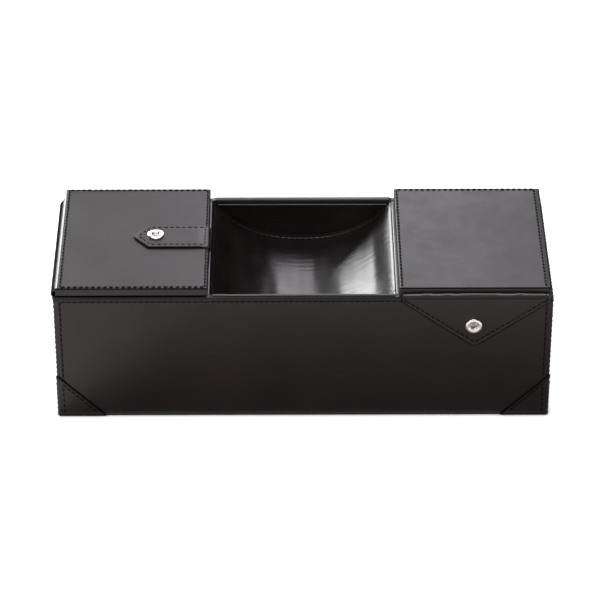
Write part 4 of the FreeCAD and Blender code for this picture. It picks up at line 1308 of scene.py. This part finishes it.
# %% Sew the strap and bake it in place
STRAP_BEND = (-0.0722, 0.0005, 0.1126), (-0.0746, 0.0005, 0.1126)


def strap_seam():
    """Stitches round the free strap, and a row across its sewn end."""
    low, high = STRAP_LOW[1], STRAP_HIGH[1]
    end = -71.5 - STRAP_LOW[0]
    outline = [(high, end), (high, STRAP_TAPER), (STRAP_Y, 0.3), (low, STRAP_TAPER), (low, end)]
    row = inset(outline[::-1], STRAP_SEAM)
    rows = [*zip(row, row[1:]), [(low + 3, end + 0.5), (high - 3, end + 0.5)]]
    return sew("strap_stitches", rows, strap_place, STRAP_THICK - GROOVE, thread, 73, 0.4)


def strap_paint_and_shade():
    """A black line round the point and along both sides: a painted edge that also paints the shade
    of those edges.
    """
    y = np.linspace(STRAP_LOW[1], STRAP_HIGH[1], 31)
    start = pointed(y - STRAP_Y, (STRAP_HIGH[1] - STRAP_LOW[1]) / 2, STRAP_TAPER)
    tip = np.stack([y, start + 0.1], 1)
    end = -70.5 - STRAP_LOW[0]
    sides = [[tuple(tip[k]), (y[k], end)] for k in (0, -1)]
    return cord("strap_edge", [tip, *sides], strap_place, 0.42, 0.42, paint_and_shade)


bend_between((strap, strap_seam(), strap_paint_and_shade()), "left_lid", "strap", *STRAP_BEND)
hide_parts("strap_leather", "strap_fixed_end")
wear_to(strap_lining, "strap", "backing_leather", "strap_backing")
print("the strap bends over", round(math.dist(*STRAP_BEND) / MM, 1), "mm")

# %% [markdown]
# ## Snaps and the rivet
# A snap's cap is pressed from sheet nickel: a plump ring, a groove, and a low dome
# with a dimple left by the punch. A profile of (radius, height) pairs is turned
# round an axis, as on a lathe.


# %% Turn a profile round an axis
def turned(name, profile, centre, up, finish, count=72, dark_reflection_inside=0.0):
    """Rings of points: centre + r cos(t) side + r sin(t) other side + z up. Inside the given radius
    the metal carries a painted dark reflection."""
    profile = np.array(profile, float)
    up = np.array(up, float)
    side = np.roll(np.abs(up), 1)
    other = np.cross(up, side)
    t = np.arange(count) * math.tau / count
    r, z = profile[:, 0, None, None], profile[:, 1, None, None]
    points = centre + r * (np.cos(t)[:, None] * side + np.sin(t)[:, None] * other) + z * up
    painted_dark_reflection = np.repeat(profile[:, 0] < dark_reflection_inside, count)
    size = (len(profile), count)
    return make_piece(name, points, tube(*size), finish, tube_ends(*size), {"painted_dark_reflection": painted_dark_reflection}, 60)


def cap_profile(radius):
    """Ring: a straight side, a flat half oval, a drop to the groove; dome: a low arc."""
    u = np.linspace(0, math.pi, 22)
    half = (radius - 3.0) / 2
    hump = np.stack([radius - half + half * np.cos(u), 1.2 + 0.5 * np.sin(u)], 1)
    groove = [(2.98, 0.7), (2.9, 0.45), (2.75, 0.36), (2.55, 0.4)]
    v = np.linspace(0, 1, 12)
    dome = np.stack([2.4 - 1.8 * v, 0.46 + 0.4 * np.sin(v * math.pi / 2)], 1)
    dimple = [(0.5, 0.8), (0.38, 0.66), (0.22, 0.6), (0.08, 0.58)]
    return [(radius - 1, 0.0), (radius - 0.12, 0.0), (radius, 0.12), *hump, *groove, *dome, *dimple]


# The sunken centre of each cap gets a painted dark reflection.
low, high = span("strap_snap_cap")
profile = cap_profile(0.93 * (high[0] - low[0]) / 2)
cap = turned("strap_cap", profile, (STRAP_CAP[0] + 1.0, STRAP_CAP[1], STRAP_LOW[2] + STRAP_THICK),
             (0, 0, 1), nickel, dark_reflection_inside=2.95)
wear_to(cap, "strap", "nickel", "strap_snap_cap")
cap = turned("flap_cap", profile, (FLAP_CAP[0] - 1.0, FLAP_LOW[1], FLAP_CAP[2] + 0.5),
             (0, -1, 0), nickel, dark_reflection_inside=2.6)
wear_to(cap, "flap", "nickel", "flap_snap_cap")
print("snap caps:", round(2 * max(r for r, _ in profile), 1), "mm across")

# %% [markdown]
# ## The drawer's front and its pull
# The drawer's front is a leather panel that sits in the window with an even gap.
# A tab hangs from a domed rivet and curls away at its foot, so that a finger can
# get behind it.


# %% Drawer front and pull tab
def drawer_face():
    """A flat blank, turned over at its edges and sewn all round."""
    low, high = FACE_LOW, FACE_HIGH
    place = fold([(low[0], low[2]), (low[0], high[2])], 0.3, (0, 2), -1)
    spots = blank(lines(low[1], high[1], 3), 0, place.length, lines(0, place.length, 3))
    piece = cut_leather("drawer_face", spots, place, high[0] - low[0], outer, swell=0.06, seed=81)
    wear_to(piece, "drawer", "outer_leather", "drawer_front_leather")
    rows = rectangle(low[1] + SEAM, high[1] - SEAM, SEAM, place.length - SEAM)
    sew_on("drawer", "drawer_face", rows, place, LEATHER - GROOVE, thread, 82)


def pull_tab():
    """The tab's outline: straight sides with both ends rounded to a circle's arc."""
    low, high = span("drawer_pull_tab")
    radius, thick = 6.4, 1.3
    path = [(low[0], high[2]), (low[0], 27.5), (low[0] + 1.3, 21), (high[0] - 1.7, low[2])]
    place = fold(path, 4.0, (0, 2), 1)
    across = lines(low[1], high[1], 0.8)
    past = np.clip(np.abs(across) - (high[1] - radius), 0, radius - 0.02)
    ends = radius - np.sqrt(radius ** 2 - past ** 2)
    spots = blank(across, ends, place.length - ends, lines(0, place.length, 0.8))
    piece = cut_leather("pull_tab", spots, place, thick, outer, edge=0.8, seam=2.0, swell=0,
                        seed=83)
    wear_to(piece, "drawer", "outer_leather", "drawer_pull_tab")
    t = np.linspace(0, math.pi, 25)
    seam, side = radius - 2.0, high[1] - radius
    a, b = seam * np.cos(t) + side * np.sign(np.cos(t)), seam * np.sin(t) + (place.length - radius)
    row = np.stack([np.r_[a[0], a, a[-1]], np.r_[9, b, 9]], 1)
    sew_on("drawer", "pull_tab", [row], place, thick - 0.25, thread, 84, 0.28, 3.0)


drawer_face()
pull_tab()
low, high = span("drawer_pull_rivet")
head = (high[2] - low[2]) / 2
t = np.linspace(0.02, 1, 14)[::-1]
dome = np.stack([head * t, 1.4 * (1 - t ** 2) ** 0.8 + 0.02], 1)
rivet = turned("pull_rivet", [(head - 1, -0.05), (head - 0.05, -0.05), *dome],
               (high[0] - 1.4, 0, (low[2] + high[2]) / 2), (1, 0, 0), nickel, 48)
wear_to(rivet, "drawer", "nickel", "drawer_pull_rivet")
print(f"the rivet's head is {2 * head:.1f} mm across")

# %% [markdown]
# ## Floor and light
# Black leather is lit by what it mirrors. A tall soft light behind puts the even
# sheen on the lids and the middle of the tray. Two bright panels at the left draw
# the streak on the tray's right side and the light on the snaps. A light overhead
# draws the thin lines on rounded edges, and a key light from the front gives the
# walls their colour. Dark cards at the right and behind keep the other sides deep,
# and two cards on the table in front are what the front wall mirrors. The floor is
# white and keeps a faint shadow.

# %% Floor
def glowing(name, colour, glow):
    """A surface that scatters light and, to the camera and in reflections, glows. It
    glows less where something stands close above it, so contact stays dark."""
    finish, tree, shader = plain_finish(name, Base_Color=(*colour, 1), Roughness=0.9,
                                        Specular_IOR_Level=0.0, Emission_Color=(1, 1, 1, 1))
    rays = tree.nodes.new("ShaderNodeLightPath")
    seen = sums(tree, "ADD", rays.outputs["Is Camera Ray"], rays.outputs["Is Glossy Ray"])
    seen = sums(tree, "ADD", seen, rays.outputs["Is Transmission Ray"])
    nearby = tree.nodes.new("ShaderNodeAmbientOcclusion")
    nearby.samples = 4
    nearby.inputs["Distance"].default_value = 0.006
    open_sky = ramp(tree, nearby.outputs["AO"], 0.0, 1.0, 0.4, 0.8)
    tree.links.new(sums(tree, "MULTIPLY", sums(tree, "MULTIPLY", seen, glow), open_sky),
                   shader.inputs["Emission Strength"])
    return finish


def plane(name, points, finish):
    """One four-cornered face that belongs to the stage, not to the box."""
    mesh = bpy.data.meshes.new(name)
    mesh.from_pydata(points, [], [[0, 1, 2, 3]])
    mesh.materials.append(finish)
    made = bpy.data.objects.new(name, mesh)
    bpy.context.scene.collection.objects.link(made)
    return made


def lying(z, *corners):
    """Corners (x, y) laid down at the height z."""
    return [(x, y, z) for x, y in corners]


REACH = 12.0
plane("floor", lying(0, (-REACH, -REACH), (REACH, -REACH), (REACH, REACH), (-REACH, REACH)),
      glowing("white_floor", (0.8, 0.8, 0.8), 0.85))
print(f"the floor reaches {REACH:.0f} m each way")

# %% [markdown]
# A plain grey room fills in what the lights leave dark. It is dim, because a bright
# room would wash the depth out of black leather.

# %% Room light
world = bpy.data.worlds.new("room")
bpy.context.scene.world = world
world.use_nodes = True
background = world.node_tree.nodes["Background"]
background.inputs["Color"].default_value = (0.32, 0.32, 0.32, 1)
background.inputs["Strength"].default_value = 1.0
print("the room is grey", round(background.inputs["Color"].default_value[0], 2))

# %% [markdown]
# Each lamp is a rectangle, like a softbox in a studio, since leather mirrors its
# whole shape. Its power follows from how bright its face should look, so a larger
# face isn't a dimmer one. Two of the lamps show in reflections only.


# %% Soft lights
def soft_light(name, place, target, width, height, bright, colour=(1, 1, 1)):
    """An area light that faces its target and is never seen by the camera. bright is
    how bright its face looks, where white paper is 1: watts / (4 x area)."""
    lamp = bpy.data.lights.new(name, "AREA")
    lamp.shape, lamp.size, lamp.size_y = "RECTANGLE", width, height
    lamp.energy, lamp.color = bright * 4 * width * height, colour
    made = bpy.data.objects.new(name, lamp)
    made.location = place
    made.rotation_euler = (Vector(target) - Vector(place)).to_track_quat("-Z", "Y").to_euler()
    made.visible_camera = False
    bpy.context.scene.collection.objects.link(made)
    return made


soft_light("back_softbox", (0.125, 1.16, 0.88), (0, 0, 0.1), 0.46, 1.10, 3.5, (0.95, 0.92, 1.0))
soft_light("left_panel", (-0.687, 1.149, 0.485), (0.033, -0.011, 0.09), 0.58, 0.66, 8.8)
far_panel = soft_light("far_panel", (-1.09, 0.90, 0.50), (-0.2, 0.1, 0.1), 0.36, 0.66, 5.0)
far_panel.visible_diffuse = False
overhead = soft_light("overhead", (0.0, -0.1, 1.45), (0, -0.05, 0.1), 1.2, 1.0, 7.5)
overhead.visible_diffuse = False            # it only draws the bright lines on rounded edges
soft_light("key", (-1.1, -1.5, 1.6), (0, 0, 0.05), 1.0, 1.0, 3.5)
print("lamps:", [lamp.name for lamp in bpy.data.lights])

# %% [markdown]
# Dark cards shape reflections as black flags do in a studio. They cast no shadow
# and the camera doesn't see them, so only shiny surfaces show them.


# %% Cards that only reflections see
def matt(name, colour):
    """A finish with no shine at all."""
    return plain_finish(name, Base_Color=(*colour, 1), Specular_IOR_Level=0.0)[0]


def card(name, points, finish):
    """A card that shows in reflections only."""
    made = plane(name, points, finish)
    made.visible_camera = made.visible_diffuse = made.visible_shadow = False


def standing(x0, y0, x1, y1, height):
    """Corners of an upright card between two places on the table."""
    return [(x0, y0, 0.0), (x1, y1, 0.0), (x1, y1, height), (x0, y0, height)]


black = matt("black_card", (0.01, 0.01, 0.01))
brown = matt("brown_card", (0.60, 0.55, 0.53))
pale = matt("pale_card", (0.85, 0.82, 0.81))
card("right_card", standing(0.30, 1.2, 1.6, 0.5, 1.6), black)
card("table_card", lying(0.002, (-1.6, 0.13), (1.6, 0.13), (1.6, 1.0), (-1.6, 1.0)), black)
card("low_card", standing(-1.6, 1.0, 1.6, 1.0, 0.22), black)
card("front_card", lying(0.002, (-0.165, -0.069), (0.6, -0.069), (0.6, -0.182),
                         (-0.075, -0.182)), brown)
card("pale_card", lying(0.001, (-0.185, -0.069), (0.6, -0.069), (0.6, -0.20),
                        (-0.085, -0.20)), pale)

# %% [markdown]
# ## Camera
# A long lens from in front and above, far enough away that the long box keeps its
# sides almost parallel.

# %% Camera
LENS_MM, SENSOR_MM = 183.1, 36.0
ELEVATION, YAW, ROLL = math.radians(34.4), math.radians(0.43), math.radians(0.1)
camera = bpy.data.objects.new("camera", bpy.data.cameras.new("camera"))
camera.data.lens, camera.data.sensor_width = LENS_MM, SENSOR_MM
camera.data.clip_start, camera.data.clip_end = 0.05, 60
camera.location = (-0.0159, -1.8565, 1.3271)
aim = Euler((math.pi / 2 - ELEVATION, 0, -YAW)).to_matrix() @ Matrix.Rotation(ROLL, 3, "Z")
camera.rotation_euler = aim.to_euler()
bpy.context.scene.collection.objects.link(camera)
bpy.context.scene.camera = camera
bpy.context.scene.view_settings.view_transform = "Standard"
print(f"lens {LENS_MM:.0f} mm, {math.degrees(ELEVATION):.1f} degrees above the floor")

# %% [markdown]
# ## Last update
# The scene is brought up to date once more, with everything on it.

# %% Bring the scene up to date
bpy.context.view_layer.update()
